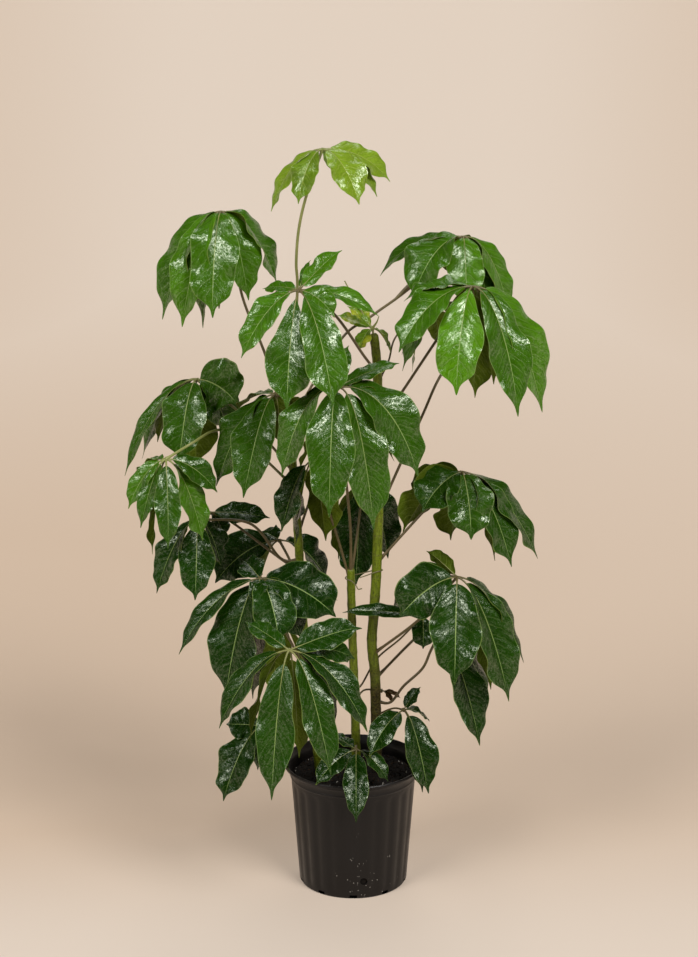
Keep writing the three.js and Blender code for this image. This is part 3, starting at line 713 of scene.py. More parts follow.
for name, cane in CANES.items():
    line = smooth_line(cane["points"])
    shares = np.linspace(0, 1, int(line_length(line) / CANE_STEP))
    places, _ = even_steps(line, shares)
    height = places[:, 2]
    thickness = np.interp(shares, [0, 1], cane["radii"])
    scar = np.zeros_like(height)
    # A scar is a swollen ring 5 mm to either side, and a thin line just above its middle.
    for at in scar_heights(MIX_TOP, cane["points"][-1][2]):
        thickness += RING_SWELL * np.exp(-((height - at) / 5.0) ** 2)
        scar = np.maximum(scar, np.exp(-((height - at - 1.5) / 1.6) ** 2))
    # The last three steps round off the top.
    thickness[-3:] *= (0.93, 0.8, 0.5)
    at_foot = (1 - np.clip((height - MIX_TOP) / FOOT_CORK, 0, 1)) ** 0.6
    at_top = np.clip((height - TOP_CORK[0]) / TOP_CORK[1], 0, 0.55)
    cork = cane["cork"] * np.maximum(at_foot, at_top)
    thread = thread_mesh(name, places, {"thickness": thickness * MM, "scar": scar, "cork": cork})
    piece = grow(f"{name}_cane_bark", thread, rod_tree,
                 {"Sides": CANE_SIDES, "Bark relief": CANE_RELIEF, "Skin": bark})
    seat(piece, "cane", f"{name}_cane")

# %% [markdown]
# ## The wire tie
#
# A thin coated wire runs once round the middle and the right cane and holds them together. Its free end
# curls below them. It is the same rod tree with fewer sides and no bark.

# %% Bend the tie
TIE_LINE = [
    (16, -18, 590), (9, -16, 588), (5, -13, 594), (-3, -11, 602), (-11.6, -7.6, 604), (-14.6, 0.7, 604),
    (-11.6, 8.4, 605), (-3, 11.2, 606), (20, 12, 611), (43, 12.2, 617), (51.2, 8.6, 619), (54.2, 0.8, 620),
    (50.8, -7.6, 621), (42, -11, 620), (22, -13, 613), (12, -14.5, 610),
]
TIE_RADIUS = 1.1
TIE_STEPS = 160

tie_coat, wiring, shader, where = new_finish("tie coating")
wear = wiring.noise(where, 500.0, 3.0)
wiring.put(shader.inputs["Base Color"], wiring.blend(wear, (0.06, 0.06, 0.02, 1), (0.2, 0.17, 0.07, 1)))
shader.inputs["Roughness"].default_value = 0.5
raise_surface(wiring, shader, wear, 0.0003)
places, _ = even_steps(smooth_line(TIE_LINE), np.linspace(0, 1, TIE_STEPS))
thread = thread_mesh("wire tie", places, {"thickness": np.full(TIE_STEPS, TIE_RADIUS * MM)})
tie = grow("wire_tie_coated", thread, rod_tree, {"Sides": 10, "Bark relief": 0.0, "Skin": tie_coat})
seat(tie, "tie", "wire_tie")

# %% [markdown]
# ## The compound leaves
#
# Each leaf is a long stalk that ends in a knuckle, from which a whorl of leaflets spreads and droops. The
# table below says where each leaf leaves its cane, where its knuckle is and where its leaflets end: right,
# back and up from the knuckle, then the leaflet's width, all in millimetres. Some leaflets also say how
# many degrees they roll about their rib, and at what share of the blade they are widest.
#
# A route bends a stalk clear of its neighbours, a stalk entry gives its radius where it is a thin one, and
# shoots are bare stalks of their own. The arch says how high the leaflets rise before they hang, and bare
# is the share of a leaflet that is its own little stalk. Leaflets turn to face the light in front of the
# plant, except on the leaves behind it, whose lean is 0.

# %% The leaf table
LEAVES = [
    {"name": "crown_leaf", "cane": "left", "from": 925, "hub": (-55, -10, 1404), "arch": 1.4,
     "looks": "young",
     "route": [(-101, -20, 1140), (-102, -25, 1205), (-97, -20, 1265), (-83, -20, 1325)],
     "leaflets": [
         (-42, -40, -90, 50), (-92, 10, -112, 42), (65, -60, -88, 66), (97, 10, -86, 46),
         (120, 30, -62, 60, 15), (30, 90, -70, 44),
     ]},
    {"name": "upper_left_leaf", "cane": "left", "from": 888, "hub": (-235, -20, 1295), "arch": 1.4,
     "bare": 0.04,
     "route": [(-160, 5, 1030), (-195, 20, 1115), (-210, 15, 1175)],
     "leaflets": [
         (-13, -80, -175, 88), (-70, -40, -200, 84), (-108, 0, -195, 84), (-36, 5, -212, 74),
         (-10, 70, -190, 66), (48, -25, -155, 72), (98, 30, -142, 78),
     ]},
    {"name": "centre_top_leaf", "cane": "right", "from": 998, "hub": (-95, -150, 1180),
     "route": [(20, -35, 1035), (-35, -110, 1130)],
     "leaflets": [
         (-100, -30, -114, 54, -15, 0.42), (-20, -90, -190, 80, 0, 0.62), (60, -112, -180, 76, 0, 0.55),
         (62, -30, -42, 46, 25), (75, 20, 66, 38, 60), (-65, 60, -10, 30, -30), (20, 40, 45, 14),
         (-85, 40, -65, 48), (138, 20, -50, 42, 15),
     ]},
    {"name": "upper_right_back_leaf", "cane": "left", "from": 905, "hub": (200, 90, 1230), "arch": 1.7,
     "bare": 0.06,
     "route": [(-25, 25, 1050), (30, 45, 1090), (110, 70, 1145)],
     "shoots": [
         {"points": [(76, 59, 1120), (95, 66, 1138), (112, 69, 1152)], "radii": (2.6, 5.2)},
     ],
     "leaflets": [
         (-150, 30, -78, 52), (-92, -50, -105, 92), (5, -60, -120, 66), (45, -20, -130, 54),
         (86, -10, -142, 60), (-15, 60, -90, 60),
     ]},
    {"name": "upper_right_leaf", "cane": "right", "from": 897, "hub": (210, -70, 1170), "arch": 1.5,
     "bare": 0.08,
     "route": [(85, -15, 960), (135, -40, 1045)],
     "leaflets": [
         (-120, 40, -35, 60), (-130, -40, -110, 82), (-122, 20, -158, 60), (-50, 30, -155, 66),
         (-30, -90, -175, 82, 0, 0.55), (8, 10, -205, 80), (44, 50, -190, 76), (80, -75, -218, 80),
         (128, -5, -228, 100),
     ]},
    {"name": "left_leaf", "cane": "left", "from": 812, "hub": (-285, 0, 985), "arch": 1.2, "bare": 0.07,
     "leaflets": [
         (74, -20, -42, 116, 75), (-134, -10, -180, 34), (-105, 30, -158, 60), (-30, -62, -140, 84),
         (52, 20, -100, 86, 40), (-5, 15, -174, 90), (-80, 80, -140, 66),
     ]},
    {"name": "left_front_leaf", "cane": "left", "from": 780, "hub": (-335, -110, 865),
     "route": [(-165, 5, 835), (-215, 0, 880), (-250, -42, 900), (-290, -96, 890)],
     "leaflets": [
         (-50, 40, -42, 44), (-68, -16, -88, 38, -20), (-45, -35, -118, 38), (5, -65, -148, 46),
         (-30, 20, -185, 48), (64, -5, -152, 64), (90, 10, -65, 46, 30),
     ]},
    {"name": "left_lower_leaf", "cane": "left", "from": 640, "hub": (-285, -20, 725),
     "route": [(-135, -5, 645), (-190, -15, 715)],
     "leaflets": [
         (-78, -20, -137, 60), (-5, -60, -137, 66), (40, 0, -90, 56), (-55, 50, -95, 50),
     ]},
    {"name": "centre_left_leaf", "cane": "left", "from": 870, "hub": (-140, -70, 975), "bare": 0.07,
     "leaflets": [
         (-108, 0, -172, 84), (-56, -75, -172, 80), (10, 20, -105, 70), (-70, 60, -45, 50),
         (45, 40, -70, 78),
     ]},
    {"name": "centre_leaf", "cane": "middle", "from": 612, "hub": (-30, -190, 1015), "arch": 2,
     "route": [(-6, -30, 720), (-20, -110, 890)],
     "leaflets": [
         (-95, -30, -150, 70), (-12, -100, -205, 82), (65, -55, -240, 88), (143, 0, -160, 90, 20),
         (110, 80, -120, 80), (110, 50, 32, 38, 25), (22, 60, 62, 30, 30), (-60, 50, -60, 66),
     ]},
    {"name": "right_leaf", "cane": "right", "from": 634, "hub": (200, 0, 810), "arch": 0.9, "bare": 0.06,
     "route": [(135, 0, 740)],
     "leaflets": [
         (-74, -40, -66, 84, -15), (15, -60, -112, 88), (92, -30, -174, 82), (144, 20, -174, 66),
         (-18, 20, -138, 96), (66, 50, -188, 60), (-108, 10, -120, 88, 75), (-92, 60, -66, 60, 60),
     ]},
    {"name": "lower_right_leaf", "cane": "right", "from": 450, "hub": (190, -70, 630), "arch": 0.9,
     "bare": 0.08,
     "route": [(125, -40, 540)],
     "leaflets": [
         (-56, 30, 40, 36, 70), (-106, -20, -70, 98, -50), (-118, 115, -108, 66, -50), (-6, -80, -180, 92),
         (97, -30, -232, 94), (128, 40, -182, 62),
     ]},
    {"name": "right_inner_leaf", "cane": "middle", "from": 385, "hub": (130, -10, 535), "stalk": 1.9,
     "route": [(15, 30, 380), (45, 40, 430), (90, 30, 475)],
     "leaflets": [
         (-150, -30, 15, 30, -40), (20, 40, 20, 40, 40), (0, -20, -60, 44),
     ]},
    {"name": "right_hanging_leaf", "cane": "right", "from": 355, "hub": (160, -10, 496),
     "route": [(70, 5, 355), (95, 0, 390), (130, 0, 425), (145, -5, 462)],
     "leaflets": [
         (77, -50, -202, 72), (66, 40, -155, 56), (98, 30, -140, 56),
     ]},
    {"name": "lower_left_leaf", "cane": "left", "from": 560, "hub": (-170, -80, 630), "bare": 0.07,
     "leaflets": [
         (-150, -20, -140, 46), (-64, -40, -218, 102), (-5, -40, -35, 34), (35, -75, -100, 80),
         (138, -5, -72, 104, 30), (140, 80, -70, 60), (-35, 60, 15, 50, -30), (75, 0, -120, 70),
         (-16, 0, -235, 84),
     ]},
    {"name": "front_leaf", "cane": "middle", "from": 380, "hub": (-115, -200, 535), "arch": 1.2,
     "leaflets": [
         (-80, 40, 40, 42, -30), (130, 20, 34, 58, 55), (118, 60, -40, 60, 25), (140, -30, -145, 62),
         (82, 10, -155, 84), (75, -70, -210, 64), (-32, -60, -264, 70), (-127, -10, -146, 54),
         (16, 20, -215, 72), (-75, 50, -195, 56),
     ]},
    {"name": "left_back_leaf", "cane": "left", "from": 620, "hub": (-270, 40, 720),
     "route": [(-130, 10, 635), (-230, 35, 705)],
     "leaflets": [
         (115, -20, -5, 46, 40), (30, -10, -45, 44), (-35, 30, 10, 30),
     ]},
    {"name": "inner_left_leaf", "cane": "left", "from": 580, "hub": (-140, 90, 650),
     "leaflets": [
         (-122, -10, -82, 88, -30), (-35, 40, 5, 44, -30), (-40, 20, -98, 88), (90, 20, -84, 84),
     ]},
    {"name": "pot_left_leaf", "cane": "left", "from": 360, "hub": (-170, -90, 345), "stalk": 1.9,
     "leaflets": [
         (-70, -60, -124, 70), (-8, 0, -88, 50), (50, 20, -100, 50), (-66, 10, 0, 60, -50),
     ]},
    {"name": "inner_leaf", "cane": "middle", "from": 590, "hub": (-75, -50, 845),
     "route": [(-30, -12, 690)],
     "leaflets": [
         (-56, -20, -128, 60), (-30, 10, -162, 78), (24, 40, -165, 76),
     ]},
    {"name": "inner_back_leaf", "cane": "middle", "from": 600, "hub": (20, 60, 775),
     "route": [(8, 24, 690)],
     "leaflets": [
         (-15, -20, -198, 84), (46, 20, -158, 80, 50), (-48, 50, -170, 66),
     ]},
    {"name": "pot_right_leaf", "cane": "right", "from": 325, "hub": (95, -20, 350), "stalk": 1.9,
     "route": [(75, 0, 345)],
     "leaflets": [
         (32, 20, 38, 28, 30), (46, -60, -144, 62), (50, 30, -36, 36), (-65, -85, -60, 48, -20),
         (35, -50, -146, 46),
     ]},
    {"name": "pot_front_leaf", "cane": "middle", "from": 262, "hub": (5, -70, 290), "stalk": 1.9,
     "leaflets": [
         (0, -95, -105, 46), (-75, -50, -50, 42, -20), (60, -20, -55, 36), (-50, 40, 15, 36),
     ]},
    {"name": "right_crown_leaf", "cane": "right", "from": 1055, "hub": (34, -2, 1080), "stalk": 1.9,
     "looks": "young",
     "shoots": [
         {"points": [(34, -2, 1080), (20, 8, 1100), (1, 8, 1133), (-16, 8, 1165)], "radii": (1.8, 1.1)},
         {"points": [(34, -2, 1080), (42, -6, 1092), (46, -8, 1104)], "radii": (2.6, 0.7)},
     ],
     "leaflets": [
         (-45, 10, 38, 38, -40), (-63, 25, 18, 26, -40), (-24, -20, -36, 30), (34, 15, -50, 38),
     ]},
    {"name": "back_centre_leaf", "cane": "left", "from": 690, "hub": (-15, 220, 850), "lean": 0,
     "leaflets": [
         (-90, 40, -110, 60), (-30, 80, -185, 66), (40, 60, -180, 66), (95, 30, -90, 60), (0, 100, 10, 56),
     ]},
    {"name": "back_right_leaf", "cane": "right", "from": 730, "hub": (265, 200, 1090), "lean": 0,
     "route": [(125, 60, 895), (170, 120, 975)],
     "leaflets": [
         (-100, 50, -110, 60), (-40, 80, -175, 66), (25, 50, -175, 66), (55, 5, -100, 50),
         (-10, 95, -45, 56),
     ]},
    {"name": "back_left_leaf", "cane": "left", "from": 400, "hub": (-160, 150, 490), "lean": 0,
     "leaflets": [
         (-110, 30, -95, 60), (-65, 70, -190, 66), (5, 60, -210, 66), (65, 20, -150, 60), (5, 95, -30, 56),
     ]},
    {"name": "back_lower_leaf", "cane": "right", "from": 400, "hub": (230, 180, 500), "lean": 0,
     "leaflets": [
         (-75, 40, -95, 60), (-25, 70, -195, 66), (45, 60, -210, 66), (80, 30, -115, 56),
         (15, 100, -45, 56),
     ]},
    {"name": "high_back_leaf", "cane": "right", "from": 960, "hub": (140, 120, 1105), "lean": 0, "stalk": 1.9,
     "route": [(50, 25, 980), (65, 45, 1010), (80, 75, 1050)],
     "leaflets": [
         (-30, 0, -135, 36), (-50, -30, -95, 20), (25, 30, -100, 56), (55, 60, -50, 50), (-5, 80, 5, 50),
     ]},
    {"name": "dry_leaf", "cane": "middle", "from": 350, "hub": (55, 40, 365), "stalk": 1.9, "looks": "dry",
     "route": [(20, 30, 370)],
     "leaflets": [
         (35, 0, -15, 14), (20, -5, -20, 12),
     ]},
]
print(len(LEAVES), "leaves,", sum(len(leaf["leaflets"]) for leaf in LEAVES), "leaflets")

# %% [markdown]
# ## The blades' finish
#
# A leaflet's upper face is waxy. Its pale rib runs down the middle, and side veins leave it by turns to
# the left and right and curve towards the tip. Between them the blade is quilted, and the gloss breaks up
# over the quilting, which is what makes the leaf look alive. The under face is paler and duller, and its
# veins stand out. A photograph of a leaf could be wrapped on, but a rule drawn from two numbers on the
# mesh, how far along and how far across, stays sharp at any size and follows every bend.


# %% Veins as a rule
def vein_gap(wiring, along, across, veins):
    """Goes from 0 on a side vein to 1 halfway between two.

    Also gives the way out from the rib, and the count of veins up to here.
    """
    reach = wiring.math("ABSOLUTE", across)
    slant = wiring.times(wiring.math("POWER", reach, 1.12), 0.19)
    by_turns = wiring.times(wiring.math("GREATER_THAN", across, 0.0), 0.5)
    drift = wiring.times(wiring.noise(None, 22.0, 1.0), 0.5)
    count = wiring.math("MULTIPLY_ADD", wiring.minus(along, slant), veins, by_turns)
    count = wiring.plus(count, drift)
    return wiring.times(wiring.math("PINGPONG", count, 0.5), 2.0), reach, count


def blade_patterns(wiring, where):
    """The patterns that a blade's colour, gloss and relief share."""
    labels = ("along", "across", "veins", "tone", "fresh")
    along, across, veins, tone, fresh = (shader_value(wiring, label) for label in labels)
    gap, reach, count = vein_gap(wiring, along, across, veins)
    rib_width = wiring.math("MULTIPLY_ADD", along, -0.014, 0.026)
    by_veins = wiring.combined(count, reach, wiring.times(tone, 40.0))
    by_veins = wiring.vector("MULTIPLY", by_veins, (3.0, 2.2, 1.0))
    return {
        "gap": gap, "reach": reach, "tone": tone, "fresh": fresh,
        "vein": wiring.times(wiring.band(gap, 0.17, 0.04), wiring.band(reach, 1.0, 0.3, 0.25, 1.0)),
        "rib": wiring.math("LESS_THAN", reach, rib_width),
        "net": wiring.band(wiring.cells(where, 380.0, "DISTANCE_TO_EDGE"), 0.09, 0.02),
        "strokes": wiring.noise(by_veins, 1.0, 4.0, 0.7),
        "mottle": wiring.noise(where, 24.0, 4.0, 0.6),
        "flecks": wiring.noise(where, 210.0, 3.0, 0.6),
        "grain": wiring.noise(where, 520.0, 2.0, 0.7),
    }


print("side veins leave the rib by turns")

# %% [markdown]
# The patterns are laid over the green one by one, like thin coats of paint. The gloss has two parts. The
# roughness is low, so that the lamps show as crisp sheens, and it changes with the dust on the leaf. The
# specular level says how much the wax mirrors: it jumps between nearly nothing and a high polish from
# grain to grain, so that a sheen is a cloud of bright flecks, as on a real leaf, and never a smooth blot.

# %% A blade's colour, gloss and relief
YELLOWED = (0.4, 0.42, 0.02, 1)
WAX_TINT = (0.92, 1.0, 0.82, 1)
BLADE_RELIEF = 0.0007


def blade_colour(wiring, blade, deep, bright, rib, veining, yellowing):
    """Green that is mottled, paler on some strokes, darker with painted shade in the grooves beside the side
    veins, and palest on the veins, the rim and the rib.
    """
    fresh, mottle, strokes = blade["fresh"], blade["mottle"], blade["strokes"]
    # Low freshness darkens the green. On the low, inner and back leaves this is partly painted shade.
    colour = wiring.blend(fresh, deep, bright)
    darker = wiring.blend(1.0, colour, (0.5, 0.55, 0.5, 1), "MULTIPLY")
    paler = wiring.blend(1.0, colour, (1.75, 1.55, 1.6, 1), "MULTIPLY")
    turned = wiring.times(wiring.band(fresh, 0.3, 0.2), wiring.band(mottle, 0.48, 0.62))
    marks = wiring.math("MAXIMUM", blade["vein"], wiring.times(blade["net"], 0.25))
    return wiring.coats(
        colour,
        (wiring.band(mottle, 0.6, 0.35), 0.75, darker),
        (blade["tone"], 0.7, paler),
        # Painted shade in the quilting's grooves along the side veins.
        (wiring.band(blade["gap"], 0.6, 0.15), 0.22, darker),
        (wiring.band(strokes, 0.45, 0.75), 0.5, paler),
        (wiring.band(strokes, 0.52, 0.35), 0.4, darker),
        (wiring.band(blade["grain"], 0.52, 0.35), 0.5, darker),
        (turned, yellowing, YELLOWED),
        (marks, wiring.math("MULTIPLY_ADD", fresh, 0.25, veining), rib),
        (wiring.band(blade["reach"], 0.95, 0.985), 0.4, rib),
        (blade["rib"], 0.85, rib),
    )


def blade_gloss(wiring, blade, wax, shine):
    """A blade's roughness, and how strongly its wax mirrors."""
    dusty = wiring.math("MULTIPLY_ADD", blade["strokes"], 0.5, wiring.times(blade["mottle"], 0.5))
    older_is_duller = wiring.band(blade["fresh"], 0.0, 0.3, 1.25, 1.0)
    roughness = wiring.times(wiring.band(dusty, 0.35, 0.66, *wax), older_is_duller)
    polish = wiring.math("MULTIPLY_ADD", blade["grain"], 0.36, wiring.times(blade["flecks"], 0.34))
    polish = wiring.math("MULTIPLY_ADD", blade["strokes"], 0.3, polish)
    polish = wiring.band(polish, 0.44, 0.64, 0.02 * shine, shine)
    return roughness, wiring.times(polish, wiring.band(blade["fresh"], 0.0, 0.5, 0.85, 1.2))


def blade_relief(wiring, blade):
    """Quilting between the veins, with strokes, flecks and grain on it and the net sunk in."""
    quilt = wiring.times(wiring.math("SINE", wiring.times(blade["gap"], math.pi / 2)), 0.5)
    height = wiring.plus(quilt, blade["strokes"])
    height = wiring.plus(height, wiring.times(blade["flecks"], 0.5))
    height = wiring.plus(height, wiring.times(blade["grain"], 0.2))
    return wiring.minus(height, wiring.times(blade["net"], 0.1))


def blade_finish(name, deep, bright, rib, wax, veining, shine=1.65, yellowing=0.0):
    """A blade's face. Wax is its lowest and highest roughness, veining how clear its veins are."""
    material, wiring, shader, where = new_finish(name)
    blade = blade_patterns(wiring, where)
    colour = blade_colour(wiring, blade, deep, bright, rib, veining, yellowing)
    roughness, polish = blade_gloss(wiring, blade, wax, shine)
    wiring.put(shader.inputs["Base Color"], colour)
    wiring.put(shader.inputs["Roughness"], roughness)
    wiring.put(shader.inputs["Specular IOR Level"], polish)
    shader.inputs["Specular Tint"].default_value = WAX_TINT
    raise_surface(wiring, shader, blade_relief(wiring, blade), BLADE_RELIEF, 0.5)
    return material


print("relief", BLADE_RELIEF * 1000, "mm high")

# %% The blades of mature, young and dry leaves
blades = {
    "mature": blade_finish(
        "mature blade", deep=(0.0035, 0.024, 0.0003, 1), bright=(0.058, 0.185, 0.0012, 1),
        rib=(0.25, 0.36, 0.11, 1), wax=(0.12, 0.27), veining=0.1),
    "young": blade_finish(
        "young blade", deep=(0.075, 0.16, 0.006, 1), bright=(0.15, 0.26, 0.014, 1),
        rib=(0.34, 0.42, 0.08, 1), wax=(0.12, 0.25), veining=0.2, shine=1.5, yellowing=0.7),
    "dry": blade_finish(
        "dry blade", deep=(0.1, 0.06, 0.028, 1), bright=(0.26, 0.17, 0.085, 1),
        rib=(0.2, 0.12, 0.05, 1), wax=(0.6, 0.85), veining=0.3, shine=0.3),
}
under_blades = {
    "mature": blade_finish(
        "under blade", deep=(0.06, 0.095, 0.005, 1), bright=(0.11, 0.175, 0.008, 1),
        rib=(0.2, 0.26, 0.05, 1), wax=(0.5, 0.65), veining=0.4, shine=0.3),
    "young": blade_finish(
        "young under blade", deep=(0.12, 0.24, 0.04, 1), bright=(0.2, 0.36, 0.07, 1),
        rib=(0.36, 0.46, 0.14, 1), wax=(0.5, 0.65), veining=0.4, shine=0.3, yellowing=0.7),
    "dry": blades["dry"],
}
print(len(blades), "kinds of blade, each with an upper and an under face")

# %% The stalks' finish
stalk_skin, wiring, shader, where = new_finish("stalk skin")
mottle = wiring.noise(where, 60.0, 3.0)
specks = wiring.noise(where, 700.0, 3.0)
brown = wiring.blend(mottle, (0.055, 0.036, 0.014, 1), (0.14, 0.09, 0.04, 1))
lively = wiring.blend(mottle, (0.2, 0.26, 0.05, 1), (0.38, 0.43, 0.13, 1))
stalk_tone = wiring.coats(
    wiring.blend(shader_value(wiring, "fresh"), brown, lively),
    (wiring.band(specks, 0.55, 0.7), 0.4, (0.05, 0.04, 0.015, 1)),
)
wiring.put(shader.inputs["Base Color"], stalk_tone)
shader.inputs["Roughness"].default_value = 0.42
raise_surface(wiring, shader, specks, 0.0002)
print("finishes:", ", ".join(material.name for material in bpy.data.materials))

# %% [markdown]
# ## One leaflet
#
# A leaflet is a thin closed skin: an upper and an under face on the same grid of points, joined round the
# edge. Its middle follows a curve that leaves the knuckle, arches over and hangs. Across it the two halves
# fold up a little from the rib, bulge, and wave towards their edges. It could be a plane bent by
# modifiers, but the shape follows from a few formulas, so the whole grid is placed by arithmetic, and the
# numbers along and across are stored for the veins.

# %% The outline of a blade
FULLNESS = 0.66  # the lower, the fuller the blade
DRIP_TIP = (0.72, 0.79, 0.94)  # how much the tip narrows, and from where to where along the blade
ROLL_AND_WIDEST = (0, 0.46)  # degrees about the rib, and a share of the blade


def chance(key):
    """A repeatable number from 0 to 1."""
    value = math.sin(key * 12.9898) * 43758.5453
    return value - math.floor(value)


def smooth_share(value, low, high):
    share = np.clip((value - low) / (high - low), 0, 1)
    return share * share * (3 - 2 * share)


def full_entry(leaflet):
    """A leaflet's tip, and its width, roll and widest share, the last two with their usual values."""
    return leaflet[:3], *leaflet[3:], *ROLL_AND_WIDEST[len(leaflet) - 4:]


def outline(share, widest):
    """A leaflet's breadth at a share of its blade: full, with a drawn-out tip."""
    evened = np.clip(share, 0, 1) ** (math.log(0.5) / math.log(widest))
    body = np.sin(np.pi * evened).clip(0) ** FULLNESS
    return body * (1 - DRIP_TIP[0] * smooth_share(share, *DRIP_TIP[1:]))


print("breadth halfway down a blade", round(float(outline(0.5, ROLL_AND_WIDEST[1])), 2))

# %% The curve that a leaflet follows
BOW = 0.14  # how far leaflets curve sideways, as a share of their length


def leaflet_line(hub, reach, arch, key):
    """Points on the curve that a leaflet follows: out from the hub, over, and down."""
    right, back, up = reach
    lift = 0.04 * arch * math.sqrt(right * right + back * back + up * up)
    bow = (chance(key) - 0.5) * BOW
    rise, fall = max(up, 0), min(up, 0)
    near, far = 0.36 + 0.04 * arch, 0.74 + 0.05 * arch
    near_up = lift + (0.16 - 0.08 * arch) * fall + 0.4 * rise
    far_up = lift + (0.68 - 0.08 * arch) * fall + 0.85 * rise
    knots = np.array([
        (0, 0, 0),
        (near * right, near * back, near_up),
        (far * right + bow * back, far * back - bow * right, far_up),
        (right, back, up),
    ]) + hub
    t = np.linspace(0, 1, 120)[:, None]
    shares = ((1 - t) ** 3, 3 * t * (1 - t) ** 2, 3 * t * t * (1 - t), t ** 3)
    return sum(share * knot for share, knot in zip(shares, knots))


print("a leaflet's curve ends at", leaflet_line(np.zeros(3), (50, 0, -100), 1, 1)[-1].round(1))

# %% Which way a blade faces
LIGHT_LEAN = 0.8  # how strongly a blade turns to the light in front
TWIST_SHARE = 0.5  # the share of its length over which it turns


def blade_frame(line, reach, shares, roll, lean):
    """The middle of a blade at some shares of its line, its sideways direction and its face's."""
    centre, along = even_steps(line, shares)
    heading = math.atan2(reach[1], reach[0])
    lit = math.atan2(math.sin(heading) - lean * (1 - max(math.sin(heading), 0)), math.cos(heading))
    twist = (lit - heading + math.pi) % (2 * math.pi) - math.pi
    facing = heading + twist * smooth_share(shares, 0, TWIST_SHARE)
    side = np.stack([np.sin(facing), -np.cos(facing), np.zeros_like(facing)], axis=1)
    side -= along * (side * along).sum(axis=1, keepdims=True)
    side /= np.linalg.norm(side, axis=1, keepdims=True)
    face = np.cross(side, along)
    turn = math.radians(roll)
    rolled_side = side * math.cos(turn) - face * math.sin(turn)
    rolled_face = side * math.sin(turn) + face * math.cos(turn)
    return centre, rolled_side, rolled_face


print("blades turn towards the light over the first", TWIST_SHARE, "of their length")

# %% Place the grid of one blade
# Points lie closest together next to the rib. The waves run through so many radians down a blade.
HALF_COLUMNS = np.array([0.045, 0.12, 0.25, 0.4, 0.56, 0.72, 0.87, 1.0])
ACROSS = np.concatenate([-HALF_COLUMNS[::-1], [0.0], HALF_COLUMNS])
OUT = np.abs(ACROSS)
WIDE_ROWS, NARROW_ROWS, WIDE_FROM = 54, 36, 44
FOLD = (0.1, 0.18)  # the least fold, and what chance may add to it
WAVE, WAVE_RADIANS = (0.05, 0.04), 14  # the least wave, and what chance may add to it
RIPPLE, RIPPLE_RADIANS = 0.03, 30  # small quick waves at the very edge
PINCH, PINCH_RADIANS = 0.07, 13  # how much the breadth wavers


def edge_wave(rows, radians, start, ahead):
    """A wave down both halves of a blade, where one half runs ahead of the other."""
    return np.sin(radians * rows[:, None] + start + np.where(ACROSS > 0, ahead, 0.0))


def blade_grid(line, leaflet, bare, lean, key):
    """The upper and under faces of a blade as grids of points, and how far along each row is."""
    reach, width, roll, widest = full_entry(leaflet)
    rows = np.linspace(0, 1, WIDE_ROWS if width >= WIDE_FROM else NARROW_ROWS)
    centre, side, face = blade_frame(line, reach, bare + (1 - bare) * rows, roll, lean)
    breadth = width * outline(rows, widest)[:, None]
    half = np.maximum(breadth / 2, 0.5)
    phase = 2 * math.pi * chance(key + 0.9)
    fold = FOLD[0] + FOLD[1] * chance(key + 0.3)
    swing = (WAVE[0] + WAVE[1] * chance(key + 0.6)) * breadth
    lift = half * fold * (OUT + 0.35 * np.sin(np.pi * OUT))
    lift = lift + swing * edge_wave(rows, WAVE_RADIANS, phase, 2.0) * OUT ** 1.6
    lift = lift + RIPPLE * breadth * edge_wave(rows, RIPPLE_RADIANS, 3 * phase, 1.3) * OUT ** 3
    pinched = half * (1 + PINCH * edge_wave(rows, PINCH_RADIANS, 2 * phase, 1.7)) * ACROSS
    sheet = centre[:, None] + side[:, None] * pinched[..., None] + face[:, None] * lift[..., None]
    thickness = (0.28 + 0.22 * (1 - OUT)) * np.minimum(1, 0.4 + half / 8)
    normal = face[:, None] * thickness[..., None]
    return sheet + normal, sheet - normal, rows


print(WIDE_ROWS, "rows on a wide blade,", NARROW_ROWS, "on a narrow one,", len(ACROSS), "points across")


# %% Join the two faces into one closed skin
def blade_faces(rows, columns):
    """Faces of a closed skin: the upper grid, the under grid turned over, and the edge all round."""
    at = np.arange(rows * columns).reshape(rows, columns)
    under = at + rows * columns
    a, b, c, d = at[:-1, :-1], at[:-1, 1:], at[1:, 1:], at[1:, :-1]
    upper = np.stack([a, b, c, d], axis=-1).reshape(-1, 4)
    below = (np.stack([a, d, c, b], axis=-1) + rows * columns).reshape(-1, 4)
    rim = np.concatenate([at[0, :-1], at[:-1, -1], at[-1, :0:-1], at[:0:-1, 0]])
    rim_under = np.concatenate([under[0, :-1], under[:-1, -1], under[-1, :0:-1], under[:0:-1, 0]])
    edge = np.stack([rim, rim_under, np.roll(rim_under, -1), np.roll(rim, -1)], axis=-1)
    return np.concatenate([upper, below, edge])


print(len(blade_faces(WIDE_ROWS, len(ACROSS))), "faces on a wide blade")

# %% [markdown]
# ## The tree that finishes a leaf
#
# Stalks and ribs come in as loose threads, blades as closed skins, all in one mesh. The tree sweeps the
# threads, quilts the blades between their side veins by the same rule that the finish draws them with,
# and sets the three finishes: upper face, under face and stalk.

# %% Build the leaf tree
LEAF_SIZES = {"Stalk sides": 8, "Quilting": 0.15 * MM, "Pucker": 2.6 * MM}


def leaf_inputs(looks):
    """The inputs of the leaf tree for a mature, young or dry leaf."""
    return LEAF_SIZES | {"Upper": blades[looks], "Under": under_blades[looks], "Stalk": stalk_skin}


